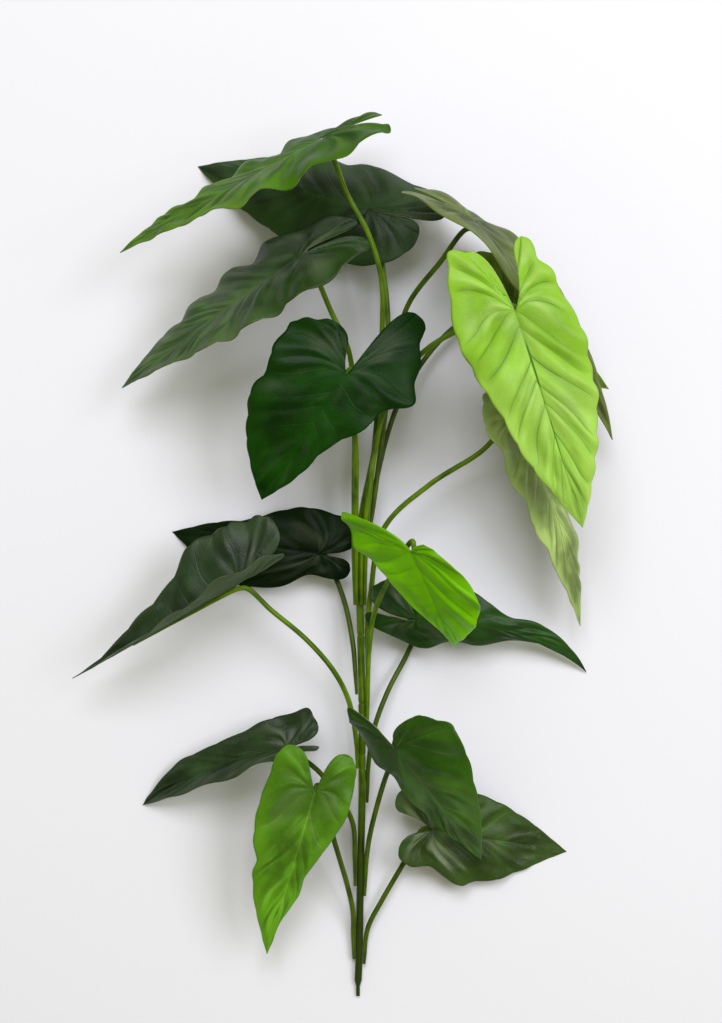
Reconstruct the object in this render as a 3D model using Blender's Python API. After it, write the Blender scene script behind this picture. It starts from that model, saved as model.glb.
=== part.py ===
"""Alocasia spray: one jointed stem, sixteen stalks and sixteen arrow-shaped blades, laid down.

Metres, +Z up. The surface that the spray lies on is z = 0, the stem runs along +Y from its cut foot
to its head, and the origin is under the middle of the spray. Every blade is one thin sheet folded
along its midrib. Each stalk starts beside the stem, and its other end is the rib under its blade.
"""
import math

import bpy
import numpy as np

# Thicknesses and clearances
BLADE_THICKNESS = 0.0009
SEAT_GAP = 0.0003

# Main stem
STEM_RADIUS = 0.0037
STEM_HEAD_RADIUS = 0.0034
STEM_PEG_RADIUS = 0.0019
STEM_SAMPLES = 26
STEM_ROUTE = (
    (0.016, -0.443, 0.0023),
    (0.016, -0.431, 0.0032),
    (0.017, -0.406, 0.0055),
    (0.018, -0.345, 0.0100),
    (0.019, -0.293, 0.0150),
    (0.020, -0.242, 0.0200),
    (0.020, -0.191, 0.0250),
    (0.020, -0.141, 0.0300),
    (0.019, -0.090, 0.0340),
    (0.018, -0.040, 0.0370),
    (0.018, 0.009, 0.0395),
)

# Stalks and the ribs that they turn into under the blades
STALK_RADIUS = 0.0026
STALK_FOOT_RADIUS = 0.0014
RIB_TIP_RADIUS = 0.0007
NECK_BACK = 0.006
NECK_DEPTH = 0.009
RIB_PLACES = (0.004, 0.014)
RIB_SHARES = (0.30, 0.62)
RIB_EXTRA = (0.0010, 0.0003, 0.0, 0.0)
TUBE_STEPS = 3
TUBE_SIDES_STEP = 2

# Blade grid
LOBE_VEINS = 3
ACROSS = (0.0, 0.3, 0.66, 1.0)
RELIEF_SPAN = 0.4
SCALLOP_FADE = 3.0


def leaf(**changes):
    """One blade's dimensions: the plain blade's, with the given ones changed.

    Pairs are the left and the right half, looking from base to tip with the upper side up.
    base and tip are the ends of the midrib, arch lifts its middle and bow bends it to the left.
    width is a half's breadth, lobe its length behind the base, splay the lobe tip's place across
    it, notch how far the gap between the lobes opens, belly the widest place along the blade and
    full how broad it stays towards the tip.
    bumps push a half's margin out: each has its middle, from -1 at the lobe's tip over 0 at the
    widest place to 1 at the blade's tip, its height as a share of the width, and its reach.
    Angles are in degrees: roll turns the blade about its midrib and lifts the left half, fold
    lifts a half from the midrib, curl bends it on towards the margin, and fold_tip adds fold
    towards the tip. scallop rounds the margin out between its side veins, as a share of the
    width. wave lifts the margin, quilt the blade between its side veins.
    """
    values = dict(
        base=(0.0, 0.0, 0.0), tip=(0.0, -0.2, 0.0), arch=0.010, arch_at=0.5, bow=0.0,
        width=(0.060, 0.060), lobe=(0.070, 0.070), splay=(0.46, 0.46), notch=(0.06, 0.06),
        belly=(0.05, 0.05), bumps=((), ()),
        full=(0.45, 0.45), roll=0.0, fold=(4.0, 4.0), curl=(-16.0, -16.0), fold_tip=(0.0, 0.0),
        lobe_droop=0.0, scallop=(0.02, 0.02), wave=0.003, quilt=0.0010, veins=7, phase=0.0,
    )
    values.update(changes)
    return values


LEAVES = {
    "01": leaf(
        base=(-0.024, 0.405, 0.130), tip=(-0.216, 0.301, 0.100), arch=0.012, width=(0.060, 0.060),
        lobe=(0.067, 0.074), full=(0.30, 0.55), roll=74.0, fold=(-4.0, 2.0), curl=(-14.0, -8.0),
        fold_tip=(0.0, 12.0), lobe_droop=16.0, wave=0.005, quilt=0.0018, veins=9,
        splay=(0.56, 0.46), scallop=(0.05, 0.02),
        bumps=(((-0.5, 0.08, 0.15), (0.12, 0.13, 0.13), (0.42, 0.06, 0.10)), ()),
    ),
    "02": leaf(
        base=(0.026, 0.351, 0.045), tip=(-0.147, 0.399, -0.001), arch=0.008, width=(0.058, 0.060),
        lobe=(0.056, 0.076), splay=(0.20, 0.30), fold=(4.0, -32.0), curl=(-12.0, -18.0),
    ),
    "03": leaf(
        base=(-0.044, 0.296, 0.095), tip=(-0.218, 0.171, 0.060), arch=0.012, width=(0.054, 0.058),
        lobe=(0.067, 0.076), splay=(0.46, 0.36), full=(0.35, 0.45), roll=50.0, fold=(12.0, 6.0),
        curl=(-26.0, -26.0), lobe_droop=30.0, scallop=(0.05, 0.03), wave=0.005, quilt=0.0012,
        veins=9, bumps=((), ((-0.6, -0.08, 0.2),)),
    ),
    "04": leaf(
        base=(0.133, 0.327, 0.105), tip=(0.270, 0.120, 0.045), arch=0.010, arch_at=0.3, bow=0.013,
        width=(0.050, 0.046), lobe=(0.074, 0.080), roll=-78.0, fold=(6.0, -2.0),
        fold_tip=(35.0, -10.0), curl=(0.0, -10.0), lobe_droop=24.0, wave=0.003, quilt=0.0015,
    ),
    "05": leaf(
        base=(0.165, 0.238, 0.175), tip=(0.231, 0.033, 0.145), width=(0.055, 0.057),
        lobe=(0.066, 0.068), splay=(0.50, 0.50), notch=(0.40, 0.06), belly=(0.15, 0.05),
        full=(0.50, 0.40), fold=(6.0, 8.0), curl=(-24.0, -22.0), scallop=(0.04, 0.03),
        quilt=0.002, veins=8,
        bumps=(
            ((-0.62, -0.26, 0.24), (-0.25, -0.10, 0.12)),
            ((-0.80, 0.14, 0.12), (-0.1, 0.05, 0.2), (0.35, -0.08, 0.15))),
    ),
    "06": leaf(
        base=(0.005, 0.181, 0.120), tip=(-0.079, 0.060, 0.070), arch=0.014, width=(0.058, 0.074),
        lobe=(0.090, 0.036), splay=(0.38, 0.50), notch=(0.06, 0.25), belly=(-0.15, 0.15),
        full=(0.25, 0.50), fold=(4.0, 8.0), curl=(-20.0, -16.0), lobe_droop=20.0,
        bumps=(
            ((-0.50, -0.17, 0.18), (0.05, 0.20, 0.09), (0.20, -0.10, 0.07), (0.50, -0.18, 0.18)),
            ((-0.74, -0.07, 0.13), (-0.36, 0.06, 0.07), (0.10, -0.10, 0.10))),
    ),
    "07": leaf(
        base=(0.175, 0.131, 0.080), tip=(0.238, -0.066, 0.040), arch=0.008, bow=0.009,
        width=(0.050, 0.041), lobe=(0.050, 0.046), roll=-56.0, fold=(-6.0, -6.0),
        curl=(-8.0, -12.0), scallop=(0.05, 0.06), wave=0.004, quilt=0.0015, veins=8,
    ),
    "08": leaf(
        base=(0.172, 0.259, 0.034), tip=(0.271, 0.173, -0.001), arch=0.005, width=(0.028, 0.036),
        lobe=(0.062, 0.060), full=(0.20, 0.45), lobe_droop=25.0, fold=(-4.0, -4.0),
        curl=(-14.0, -14.0), veins=6,
    ),
    "09": leaf(
        base=(-0.103, -0.024, 0.080), tip=(-0.269, -0.118, 0.045), arch=0.008,
        width=(0.048, 0.062), lobe=(0.056, 0.062), splay=(0.32, 0.46), belly=(0.0, -0.10),
        full=(0.30, -0.10), roll=47.0, fold=(56.0, 46.0), curl=(4.0, -20.0),
        fold_tip=(-20.0, -30.0), scallop=(0.02, 0.04),
        bumps=((), ((-0.30, -0.14, 0.30), (0.04, -0.06, 0.08), (0.30, 0.14, 0.10), (0.7, 0.06, 0.1))),
    ),
    "10": leaf(
        base=(-0.024, 0.006, 0.026), tip=(-0.173, 0.028, -0.001), arch=0.008, width=(0.043, 0.044),
        lobe=(0.034, 0.038), splay=(0.28, 0.50), belly=(0.40, 0.10), full=(0.50, 0.30),
        curl=(-18.0, -18.0), veins=6, bumps=(((-0.46, -0.36, 0.22),), ((0.42, -0.18, 0.22),)),
    ),
    "11": leaf(
        base=(0.067, 0.010, 0.145), tip=(0.110, -0.085, 0.055), arch=0.012, width=(0.042, 0.062),
        lobe=(0.006, 0.050), splay=(0.40, 0.98), belly=(0.40, -0.10), full=(0.50, -0.05), roll=38.0,
        scallop=(0.02, 0.0), veins=6,
        bumps=(
            ((-0.7, -0.12, 0.25), (0.1, 0.14, 0.2), (0.50, 0.05, 0.15)),
            ((0.30, -0.10, 0.12), (0.62, 0.06, 0.15))),
    ),
    "12": leaf(
        base=(0.075, -0.060, 0.048), tip=(0.248, -0.115, 0.002), arch=0.012, arch_at=0.7,
        bow=0.018, width=(0.040, 0.032), lobe=(0.048, 0.052), splay=(0.60, -0.12),
        full=(0.20, 0.20), lobe_droop=4.0, fold=(2.0, -30.0), curl=(-18.0, -14.0), wave=0.004,
        veins=6,
        bumps=(
            ((0.45, -0.30, 0.14),),
            ((-0.5, -0.12, 0.15), (0.2, -0.12, 0.12), (0.60, -0.28, 0.18))),
    ),
    "13": leaf(
        base=(-0.057, -0.188, 0.045), tip=(-0.203, -0.250, -0.001), arch=0.008, bow=-0.010,
        width=(0.036, 0.034), lobe=(0.036, 0.036), full=(0.50, 0.45), roll=52.0,
        fold=(33.0, 36.0), curl=(-8.0, -16.0), fold_tip=(-35.0, 0.0), veins=6,
        bumps=((), ((-0.45, 0.28, 0.2), (0.28, -0.24, 0.24), (0.58, 0.06, 0.08))),
    ),
    "14": leaf(
        base=(-0.026, -0.227, 0.085), tip=(-0.075, -0.393, 0.045), width=(0.036, 0.049),
        lobe=(0.044, 0.038), splay=(0.50, 0.65), notch=(0.06, 0.25), belly=(0.0, 0.15),
        full=(0.25, 0.45), fold=(6.0, 4.0), curl=(-16.0, -18.0), fold_tip=(-40.0, 0.0), veins=6,
        bumps=(((0.45, -0.22, 0.15), (0.78, -0.14, 0.12)), ((0.33, -0.12, 0.08),)),
    ),
    "15": leaf(
        base=(0.053, -0.182, 0.112), tip=(0.139, -0.299, 0.042), width=(0.060, 0.050),
        lobe=(0.022, 0.056), splay=(0.50, 0.56), full=(0.35, 0.45), roll=35.0,
        fold=(4.0, -20.0), curl=(-16.0, -12.0), veins=6,
        bumps=(((0.0, 0.12, 0.2),), ((-0.72, -0.16, 0.20), (0.30, -0.10, 0.08))),
    ),
    "16": leaf(
        base=(0.090, -0.272, 0.032), tip=(0.228, -0.297, -0.016), arch=0.006,
        width=(0.046, 0.046), lobe=(0.042, 0.030), splay=(0.50, 0.50), notch=(0.40, 0.06),
        belly=(0.10, 0.25), full=(0.40, 0.40), curl=(-14.0, -14.0), veins=6,
        bumps=((), ((-0.35, -0.18, 0.2), (0.0, 0.08, 0.1))),
    ),
}

# Stalk routes: side is the place round the stem in degrees from +X towards +Z, foot and leave are
# the places along Y where the stalk meets the stem and leaves it, via its way to the blade.
STALKS = {
    "01": dict(side=25.0, foot=-0.045, leave=0.003, via=(
        (0.026, 0.050, 0.046), (0.033, 0.120, 0.050), (0.040, 0.228, 0.064), (0.039, 0.278, 0.078),
        (0.026, 0.321, 0.090), (0.006, 0.357, 0.098))),
    "02": dict(side=-125.0, foot=-0.045, leave=0.003, via=(
        (0.020, 0.050, 0.036), (0.034, 0.120, 0.037), (0.046, 0.230, 0.040), (0.040, 0.300, 0.034))),
    "03": dict(side=175.0, foot=-0.045, leave=0.003, via=(
        (0.012, 0.060, 0.045), (0.012, 0.159, 0.052), (0.007, 0.207, 0.060), (-0.010, 0.245, 0.068))),
    "04": dict(side=-25.0, foot=-0.045, leave=0.003, via=(
        (0.032, 0.060, 0.038), (0.050, 0.189, 0.046), (0.065, 0.252, 0.058), (0.097, 0.294, 0.078))),
    "05": dict(side=75.0, foot=-0.045, leave=0.003, via=(
        (0.026, 0.060, 0.056), (0.043, 0.149, 0.066), (0.077, 0.202, 0.084), (0.124, 0.228, 0.134))),
    "06": dict(side=125.0, foot=-0.045, leave=0.003, via=(
        (0.014, 0.050, 0.054), (0.014, 0.109, 0.076), (0.011, 0.148, 0.096))),
    "07": dict(side=0.0, foot=-0.110, leave=-0.075, via=(
        (0.0285, -0.035, 0.041), (0.042, 0.032, 0.050), (0.087, 0.075, 0.054), (0.137, 0.107, 0.062))),
    "08": dict(side=-75.0, foot=-0.045, leave=0.003, via=(
        (0.030, 0.060, 0.030), (0.058, 0.160, 0.024), (0.108, 0.230, 0.020))),
    "09": dict(side=150.0, foot=-0.210, leave=-0.185, via=(
        (0.007, -0.142, 0.037), (-0.008, -0.111, 0.046), (-0.035, -0.079, 0.056),
        (-0.070, -0.049, 0.066))),
    "10": dict(side=185.0, foot=-0.135, leave=-0.110, via=(
        (0.011, -0.085, 0.030), (0.003, -0.045, 0.022), (-0.008, -0.015, 0.014))),
    "11": dict(side=30.0, foot=-0.185, leave=-0.140, via=(
        (0.027, -0.090, 0.048), (0.032, -0.053, 0.062), (0.044, -0.023, 0.088))),
    "12": dict(side=-15.0, foot=-0.245, leave=-0.210, via=(
        (0.032, -0.171, 0.024), (0.046, -0.133, 0.018), (0.066, -0.095, 0.010), (0.073, -0.076, 0.018))),
    "13": dict(side=165.0, foot=-0.330, leave=-0.300, via=(
        (0.011, -0.267, 0.022), (0.001, -0.245, 0.028), (-0.025, -0.211, 0.030))),
    "14": dict(side=180.0, foot=-0.405, leave=-0.380, via=(
        (0.011, -0.357, 0.015), (0.006, -0.330, 0.028), (-0.006, -0.285, 0.052))),
    "15": dict(side=30.0, foot=-0.340, leave=-0.307, via=(
        (0.027, -0.282, 0.026), (0.034, -0.250, 0.038), (0.043, -0.218, 0.048), (0.048, -0.203, 0.062))),
    "16": dict(side=5.0, foot=-0.410, leave=-0.385, via=(
        (0.027, -0.370, 0.010), (0.040, -0.345, 0.012), (0.062, -0.307, 0.014))),
}

COLOURS = {
    "dark": (0.020, 0.075, 0.020),
    "mid": (0.060, 0.190, 0.030),
    "bright": (0.240, 0.520, 0.050),
    "grey": (0.150, 0.210, 0.070),
    "stalk": (0.090, 0.170, 0.020),
    "stem": (0.045, 0.085, 0.015),
}
BLADE_COLOURS = {
    "01": "mid", "04": "grey", "05": "bright", "07": "grey", "11": "bright", "14": "mid", "15": "mid",
}


def unit(vectors):
    """Vectors scaled to length one along the last axis."""
    vectors = np.asarray(vectors, float)
    return vectors / np.linalg.norm(vectors, axis=-1, keepdims=True)


def bezier(points, t):
    """Cubic curve through the first and last of four points, at the parameters t."""
    p = np.asarray(points, float)
    t = np.asarray(t, float)[..., None]
    u = 1.0 - t
    return u**3 * p[0] + 3 * t * u**2 * p[1] + 3 * t**2 * u * p[2] + t**3 * p[3]


def spline(points, steps):
    """Smooth curve through all the points, with the given number of steps between neighbours."""
    p = np.asarray(points, float)
    p = np.vstack([2 * p[0] - p[1], p, 2 * p[-1] - p[-2]])
    knots = np.concatenate([[0.0], np.cumsum(np.linalg.norm(np.diff(p, axis=0), axis=1) ** 0.5)])
    curve = []
    for i in range(1, len(p) - 2):
        k = knots[i - 1:i + 3]
        for t in np.linspace(k[1], k[2], steps, endpoint=False):
            a1, a2, a3 = ((k[j + 1] - t) / (k[j + 1] - k[j]) * p[i - 1 + j]
                          + (t - k[j]) / (k[j + 1] - k[j]) * p[i + j] for j in range(3))
            b1 = (k[2] - t) / (k[2] - k[0]) * a1 + (t - k[0]) / (k[2] - k[0]) * a2
            b2 = (k[3] - t) / (k[3] - k[1]) * a2 + (t - k[1]) / (k[3] - k[1]) * a3
            curve.append((k[2] - t) / (k[2] - k[1]) * b1 + (t - k[1]) / (k[2] - k[1]) * b2)
    return np.array(curve + [p[-2]])


def midrib(lf, samples=200):
    """Distances along the midrib, its points, and its forward, sideways and upward directions."""
    base, tip = np.array(lf["base"]), np.array(lf["tip"])
    span = tip - base
    level = unit(np.cross((0.0, 0.0, 1.0), span))
    upward = unit(np.cross(span, level))
    middle = base + span * lf["arch_at"] + 2 * lf["arch"] * upward + 2 * lf["bow"] * level
    t = np.linspace(0.0, 1.0, samples)[:, None]
    points = (1 - t) ** 2 * base + 2 * t * (1 - t) * middle + t**2 * tip
    steps = np.linalg.norm(np.diff(points, axis=0), axis=1)
    s = np.concatenate([[0.0], np.cumsum(steps)])
    forward = unit(np.gradient(points, s, axis=0))
    sideways = unit(level - (forward @ level)[:, None] * forward)
    normal = np.cross(forward, sideways)
    turn = math.radians(lf["roll"])
    across = math.cos(turn) * sideways + math.sin(turn) * normal
    up = -math.sin(turn) * sideways + math.cos(turn) * normal
    return s, points, forward, across, up


def at(s, values, where):
    """Values given along s, read at the distances where."""
    return np.stack([np.interp(where, s, values[:, k]) for k in range(3)], axis=-1)


def flat_half(lf, half, length):
    """Flat outline grid of one half: distances along the blade and across it, and the vein phase.

    Rows run from the lobe's tip to the blade's tip, and columns from the midrib, or from the
    notch between the lobes, to the outer margin.
    """
    width, lobe, splay = lf["width"][half], lf["lobe"][half], lf["splay"][half]
    belly, full = lf["belly"][half] * length, lf["full"][half]
    t_lobe = np.linspace(0.0, 1.0, 2 * LOBE_VEINS, endpoint=False)
    t_front = np.linspace(0.0, 1.0, 2 * lf["veins"] + 1)
    notch = bezier([(0, 0), (-0.45 * lobe, lf["notch"][half] * width),
                    (-0.98 * lobe, (splay - 0.36) * width), (-lobe, splay * width)], 1 - t_lobe)
    shoulder = bezier([(-lobe, splay * width), (-1.02 * lobe, min(splay + 0.38, 1.0) * width),
                       (belly - 0.55 * (lobe + belly), width), (belly, width)], t_lobe)
    rib = np.stack([length * (0.8 * t_front + 0.2 * t_front**2), 0 * t_front], axis=-1)
    swell = (belly + (0.2 + 0.4 * full) * (length - belly), width * (1 + 0.04 * full))
    taper = ((0.58 + 0.38 * full) * length, (0.1 + 0.8 * full) * width)
    edge = bezier([(belly, width), swell, taper, (length, 0)], t_front)
    inner = np.vstack([notch, rib])
    outer = np.vstack([shoulder, edge])
    v = np.array(ACROSS)
    place = np.concatenate([t_lobe - 1, t_front])
    facing = math.pi / 2 * np.clip(-place, 0.0, 1.0) ** 1.5
    outward = np.stack([-np.sin(facing), np.cos(facing)], axis=-1)
    for middle, height, reach in lf["bumps"][half]:
        outer += width * height * np.exp(-((place - middle) / reach) ** 2)[:, None] * outward
    phase = np.concatenate([LOBE_VEINS * (t_lobe - 1), lf["veins"] * t_front])
    rounds = np.abs(np.sin(math.pi * phase)) * np.clip(SCALLOP_FADE * (1 - np.abs(place)), 0.0, 1.0)
    outer += width * lf["scallop"][half] * rounds[:, None] * outward
    outer[-1] = (length, 0.0)
    grid = inner[:, None, :] + v[None, :, None] * (outer - inner)[:, None, :]
    return grid[..., 0], grid[..., 1], phase


def half_points(lf, half):
    """The middle sheet of one half, as a grid of points."""
    s, points, forward, across, up = midrib(lf)
    length = s[-1]
    side = (1.0, -1.0)[half]
    along, out, phase = flat_half(lf, half, length)
    ahead = np.clip(along, 0.0, length)
    behind = np.clip(-along, 0.0, None)
    centre = at(s, points, ahead)
    f = unit(at(s, forward, ahead))
    a = unit(at(s, across, ahead))
    n = unit(at(s, up, ahead))
    droop = math.radians(lf["lobe_droop"]) / max(lf["lobe"]) + 1e-7
    angle = behind * droop
    back = (np.sin(angle) / droop)[..., None]
    down = ((1 - np.cos(angle)) / droop)[..., None]
    centre = centre - back * f - down * n
    n = np.cos(angle)[..., None] * n - np.sin(angle)[..., None] * f
    width = lf["width"][half]
    fold = np.radians(lf["fold"][half] + lf["fold_tip"][half] * ahead / length)
    curl = math.radians(lf["curl"][half]) + 1e-6
    slope = fold + curl * out / width
    shift = width / curl * (np.sin(slope) - np.sin(fold))
    rise = width / curl * (np.cos(fold) - np.cos(slope))
    normal = -side * np.sin(slope)[..., None] * a + np.cos(slope)[..., None] * n
    span = np.hypot(along[:, -1] - along[:, 0], out[:, -1] - out[:, 0])
    ease = np.clip(span / (RELIEF_SPAN * width), 0.0, 1.0)[:, None]
    turns = math.pi * phase[:, None]
    v = np.array(ACROSS)[None, :]
    pillow = lf["quilt"] * np.sin(turns) ** 2 * np.clip(4 * v * (1 - v) ** 0.7, 0, 1) ** 0.7
    ripple = lf["wave"] * (out / width) ** 2 * np.sin(turns + lf["phase"] + 1.3 * half)
    relief = ease * (pillow + ripple)
    grid = centre + side * shift[..., None] * a + rise[..., None] * n + relief[..., None] * normal
    grid[..., 2] = np.maximum(grid[..., 2], BLADE_THICKNESS / 2)
    return grid


def blade(name, lf):
    """Thin solid blade: both halves share the midrib, and each lobe and the tip end in a point."""
    points, faces = [], []
    rows = 2 * LOBE_VEINS + 2 * lf["veins"] + 1
    columns = len(ACROSS)
    spine = {}
    for half in (0, 1):
        grid = half_points(lf, half)
        index = np.zeros((rows, columns), int)
        for i in range(rows):
            for j in range(columns):
                point = i in (0, rows - 1) and j > 0
                if point:
                    index[i, j] = index[i, 0]
                elif half == 1 and j == 0 and i in spine:
                    index[i, j] = spine[i]
                else:
                    index[i, j] = len(points)
                    points.append(grid[i, j])
                    if half == 0 and j == 0 and i >= 2 * LOBE_VEINS:
                        spine[i] = index[i, j]
        for i in range(rows - 1):
            for j in range(columns - 1):
                a, b = index[i, j], index[i + 1, j]
                c, d = index[i + 1, j + 1], index[i, j + 1]
                for corners in ((a, b, c), (a, c, d)):
                    if len(set(corners)) == 3:
                        faces.append(corners if half == 0 else corners[::-1])
    mesh = bpy.data.meshes.new(name)
    mesh.from_pydata([tuple(p) for p in points], [], faces)
    mesh.update()
    thing = bpy.data.objects.new(name, mesh)
    bpy.context.collection.objects.link(thing)
    sheet = thing.modifiers.new("thickness", "SOLIDIFY")
    sheet.thickness = BLADE_THICKNESS
    sheet.offset = 0.0
    sheet.use_even_offset = True
    sheet.thickness_clamp = 1.0
    return thing


def tube(name, route, radii):
    """Round solid along a route, with a radius at each of its points and closed ends."""
    curve = bpy.data.curves.new(name, "CURVE")
    curve.dimensions = "3D"
    curve.twist_mode = "MINIMUM"
    curve.bevel_depth = 1.0
    curve.bevel_resolution = TUBE_SIDES_STEP
    curve.use_fill_caps = True
    line = curve.splines.new("POLY")
    line.points.add(len(route) - 1)
    for point, place, radius in zip(line.points, route, radii):
        point.co = (*place, 1.0)
        point.radius = radius
    thing = bpy.data.objects.new(name, curve)
    bpy.context.collection.objects.link(thing)
    return thing


def stem_radius(y):
    """Radius of the stem at a place along Y: a thin peg at the foot and a slimmer head."""
    foot, head = STEM_ROUTE[0][1], STEM_ROUTE[-1][1]
    places = (foot, foot + 0.010, foot + 0.016, head - 0.040, head)
    radii = (STEM_PEG_RADIUS, STEM_PEG_RADIUS, STEM_RADIUS, STEM_RADIUS, STEM_HEAD_RADIUS)
    return float(np.interp(y, places, radii))


def stem_route():
    """Points along the middle of the stem."""
    smooth = spline(STEM_ROUTE, 8)
    y = np.linspace(STEM_ROUTE[0][1], STEM_ROUTE[-1][1], STEM_SAMPLES)
    x = np.interp(y, smooth[:, 1], smooth[:, 0])
    z = np.interp(y, smooth[:, 1], smooth[:, 2])
    return np.stack([x, y, z], axis=-1)


def beside_stem(y, side, radius):
    """Middle of a stalk of the given radius that lies against the stem at y."""
    route = stem_route()
    x, z = np.interp(y, route[:, 1], route[:, 0]), np.interp(y, route[:, 1], route[:, 2])
    reach = stem_radius(y) + radius + SEAT_GAP
    turn = math.radians(side)
    return (x + reach * math.cos(turn), y, z + reach * math.sin(turn))


def rib_route(lf):
    """Middle of the neck and of the rib under the blade with its radii, from behind the base on."""
    s, points, forward, across, up = midrib(lf)
    where = np.array(RIB_PLACES + tuple(share * s[-1] for share in RIB_SHARES))
    radii = np.interp(where, (0.0, where[-1]), (STALK_RADIUS * 0.9, RIB_TIP_RADIUS))
    left = lf["fold"][0] + lf["fold_tip"][0] * where / s[-1]
    right = lf["fold"][1] + lf["fold_tip"][1] * where / s[-1]
    wedge = np.radians(np.minimum(90.0 + (left + right) / 2, 90.0))
    away = (radii + BLADE_THICKNESS / 2 + SEAT_GAP) / np.sin(wedge) + np.array(RIB_EXTRA)
    lean = np.radians((left - right) / 2 - 90.0)[:, None]
    down = np.cos(lean) * at(s, across, where) + np.sin(lean) * at(s, up, where)
    rib = at(s, points, where) + away[:, None] * down
    neck = points[0] - NECK_BACK * forward[0] + NECK_DEPTH * down[0]
    return np.vstack([neck, rib]), np.concatenate([[STALK_RADIUS], radii])


def stalk(name, lf, plan):
    """A stalk from beside the stem to its blade, and on as the rib under it."""
    foot_y = np.linspace(plan["foot"], plan["leave"], 3)
    foot_radii = np.linspace(STALK_FOOT_RADIUS, STALK_RADIUS * 0.9, 3)
    foot = [beside_stem(y, plan["side"], radius) for y, radius in zip(foot_y, foot_radii)]
    rib, rib_radii = rib_route(lf)
    knots = np.vstack([foot, plan["via"], rib])
    radii = np.concatenate([foot_radii, [STALK_RADIUS] * len(plan["via"]), rib_radii])
    route = spline(knots, TUBE_STEPS)
    steps = np.arange(len(route)) / TUBE_STEPS
    return tube(name, route, np.interp(steps, np.arange(len(knots)), radii))


def paint(thing, colour, roughness):
    """Give an object its own plain material."""
    material = bpy.data.materials.new(thing.name)
    material.use_nodes = True
    shader = material.node_tree.nodes["Principled BSDF"]
    shader.inputs["Base Color"].default_value = (*COLOURS[colour], 1.0)
    shader.inputs["Roughness"].default_value = roughness
    shader.inputs["Metallic"].default_value = 0.0
    thing.data.materials.append(material)


def main():
    for thing in list(bpy.data.objects):
        bpy.data.objects.remove(thing, do_unlink=True)
    route = stem_route()
    paint(tube("main_stem", route, [stem_radius(y) for y in route[:, 1]]), "stem", 0.5)
    for number, lf in LEAVES.items():
        paint(stalk("stalk_" + number, lf, STALKS[number]), "stalk", 0.45)
        paint(blade("leaf_" + number, lf), BLADE_COLOURS.get(number, "dark"), 0.4)


main()
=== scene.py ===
# %% Load the frame
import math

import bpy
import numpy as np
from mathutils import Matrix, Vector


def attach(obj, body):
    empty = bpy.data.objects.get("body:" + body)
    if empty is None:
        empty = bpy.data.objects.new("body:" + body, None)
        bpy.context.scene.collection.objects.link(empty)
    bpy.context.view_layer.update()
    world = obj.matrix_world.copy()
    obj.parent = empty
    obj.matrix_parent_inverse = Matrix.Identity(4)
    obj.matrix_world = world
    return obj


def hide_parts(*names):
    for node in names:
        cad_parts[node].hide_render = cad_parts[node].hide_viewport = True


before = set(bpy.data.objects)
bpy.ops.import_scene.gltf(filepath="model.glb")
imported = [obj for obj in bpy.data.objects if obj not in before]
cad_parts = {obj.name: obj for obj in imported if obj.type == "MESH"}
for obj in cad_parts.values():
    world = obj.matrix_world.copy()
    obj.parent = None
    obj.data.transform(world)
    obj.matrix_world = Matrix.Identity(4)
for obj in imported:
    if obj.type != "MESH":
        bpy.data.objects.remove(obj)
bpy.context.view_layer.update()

# %% [markdown]
# # An alocasia spray, laid flat
# The real thing is a long artificial foliage stem. Thin glossy stalks leave it one by one, and each
# carries one arrow-shaped leaf: two lobes behind the joint, a long point ahead of it, a midrib, side
# veins that are pressed into the sheet, and a margin that waves up and down.
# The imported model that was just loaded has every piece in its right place, but with few faces. The
# lesson replaces each piece by a finer one that is worked out from the same dimensions.

# %% [markdown]
# ## Small helpers for curves
# A leaf's outline and a stalk's route are smooth curves through a few chosen points. A Bezier curve
# gives an outline with four points, and a Catmull-Rom curve passes through every point of a route.
# Both could be drawn with Blender's curve objects, but as plain functions they can be evaluated
# anywhere, which a grid of surface points needs.

# %% Curves as functions
def unit(vectors):
    """Each vector divided by its own length."""
    vectors = np.asarray(vectors, float)
    return vectors / np.linalg.norm(vectors, axis=-1, keepdims=True)


def bezier(points, t):
    """Cubic Bezier: (1-t)^3 p0 + 3t(1-t)^2 p1 + 3t^2(1-t) p2 + t^3 p3."""
    p = np.asarray(points, float)
    t = np.asarray(t, float)[..., None]
    u = 1.0 - t
    return u**3 * p[0] + 3 * t * u**2 * p[1] + 3 * t**2 * u * p[2] + t**3 * p[3]


def smooth_line(points, steps):
    """Catmull-Rom curve through all points: knots lie the square root of each distance apart.

    Every stretch mixes its four nearest points three times, each time in proportion to how far the
    parameter has come between two knots.
    """
    p = np.asarray(points, float)
    p = np.vstack([2 * p[0] - p[1], p, 2 * p[-1] - p[-2]])
    knot = np.concatenate([[0.0], np.cumsum(np.linalg.norm(np.diff(p, axis=0), axis=1) ** 0.5)])
    i = np.repeat(np.arange(1, len(p) - 2), steps)
    share = np.tile(np.arange(steps) / steps, len(p) - 3)
    t = knot[i] + (knot[i + 1] - knot[i]) * share

    def mix(k0, a, k1, b):
        part = ((t - k0) / (k1 - k0))[:, None]
        return (1 - part) * a + part * b

    k = [knot[i + j] for j in (-1, 0, 1, 2)]
    a = [mix(k[j], p[i - 1 + j], k[j + 1], p[i + j]) for j in range(3)]
    b = [mix(k[0], a[0], k[2], a[1]), mix(k[1], a[1], k[3], a[2])]
    return np.vstack([mix(k[1], b[0], k[2], b[1]), p[-2]])


print("middle of a test curve:", bezier([(0, 0), (0, 1), (1, 1), (1, 0)], 0.5).tolist())

# %% [markdown]
# ## The leaves' dimensions
# No two leaves are alike, so each has its own dimensions, and a plain leaf fills in what an entry
# leaves out. Pairs are the left and the right half, seen from the joint towards the point with the
# upper side up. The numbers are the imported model's own, in metres and degrees.

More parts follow.
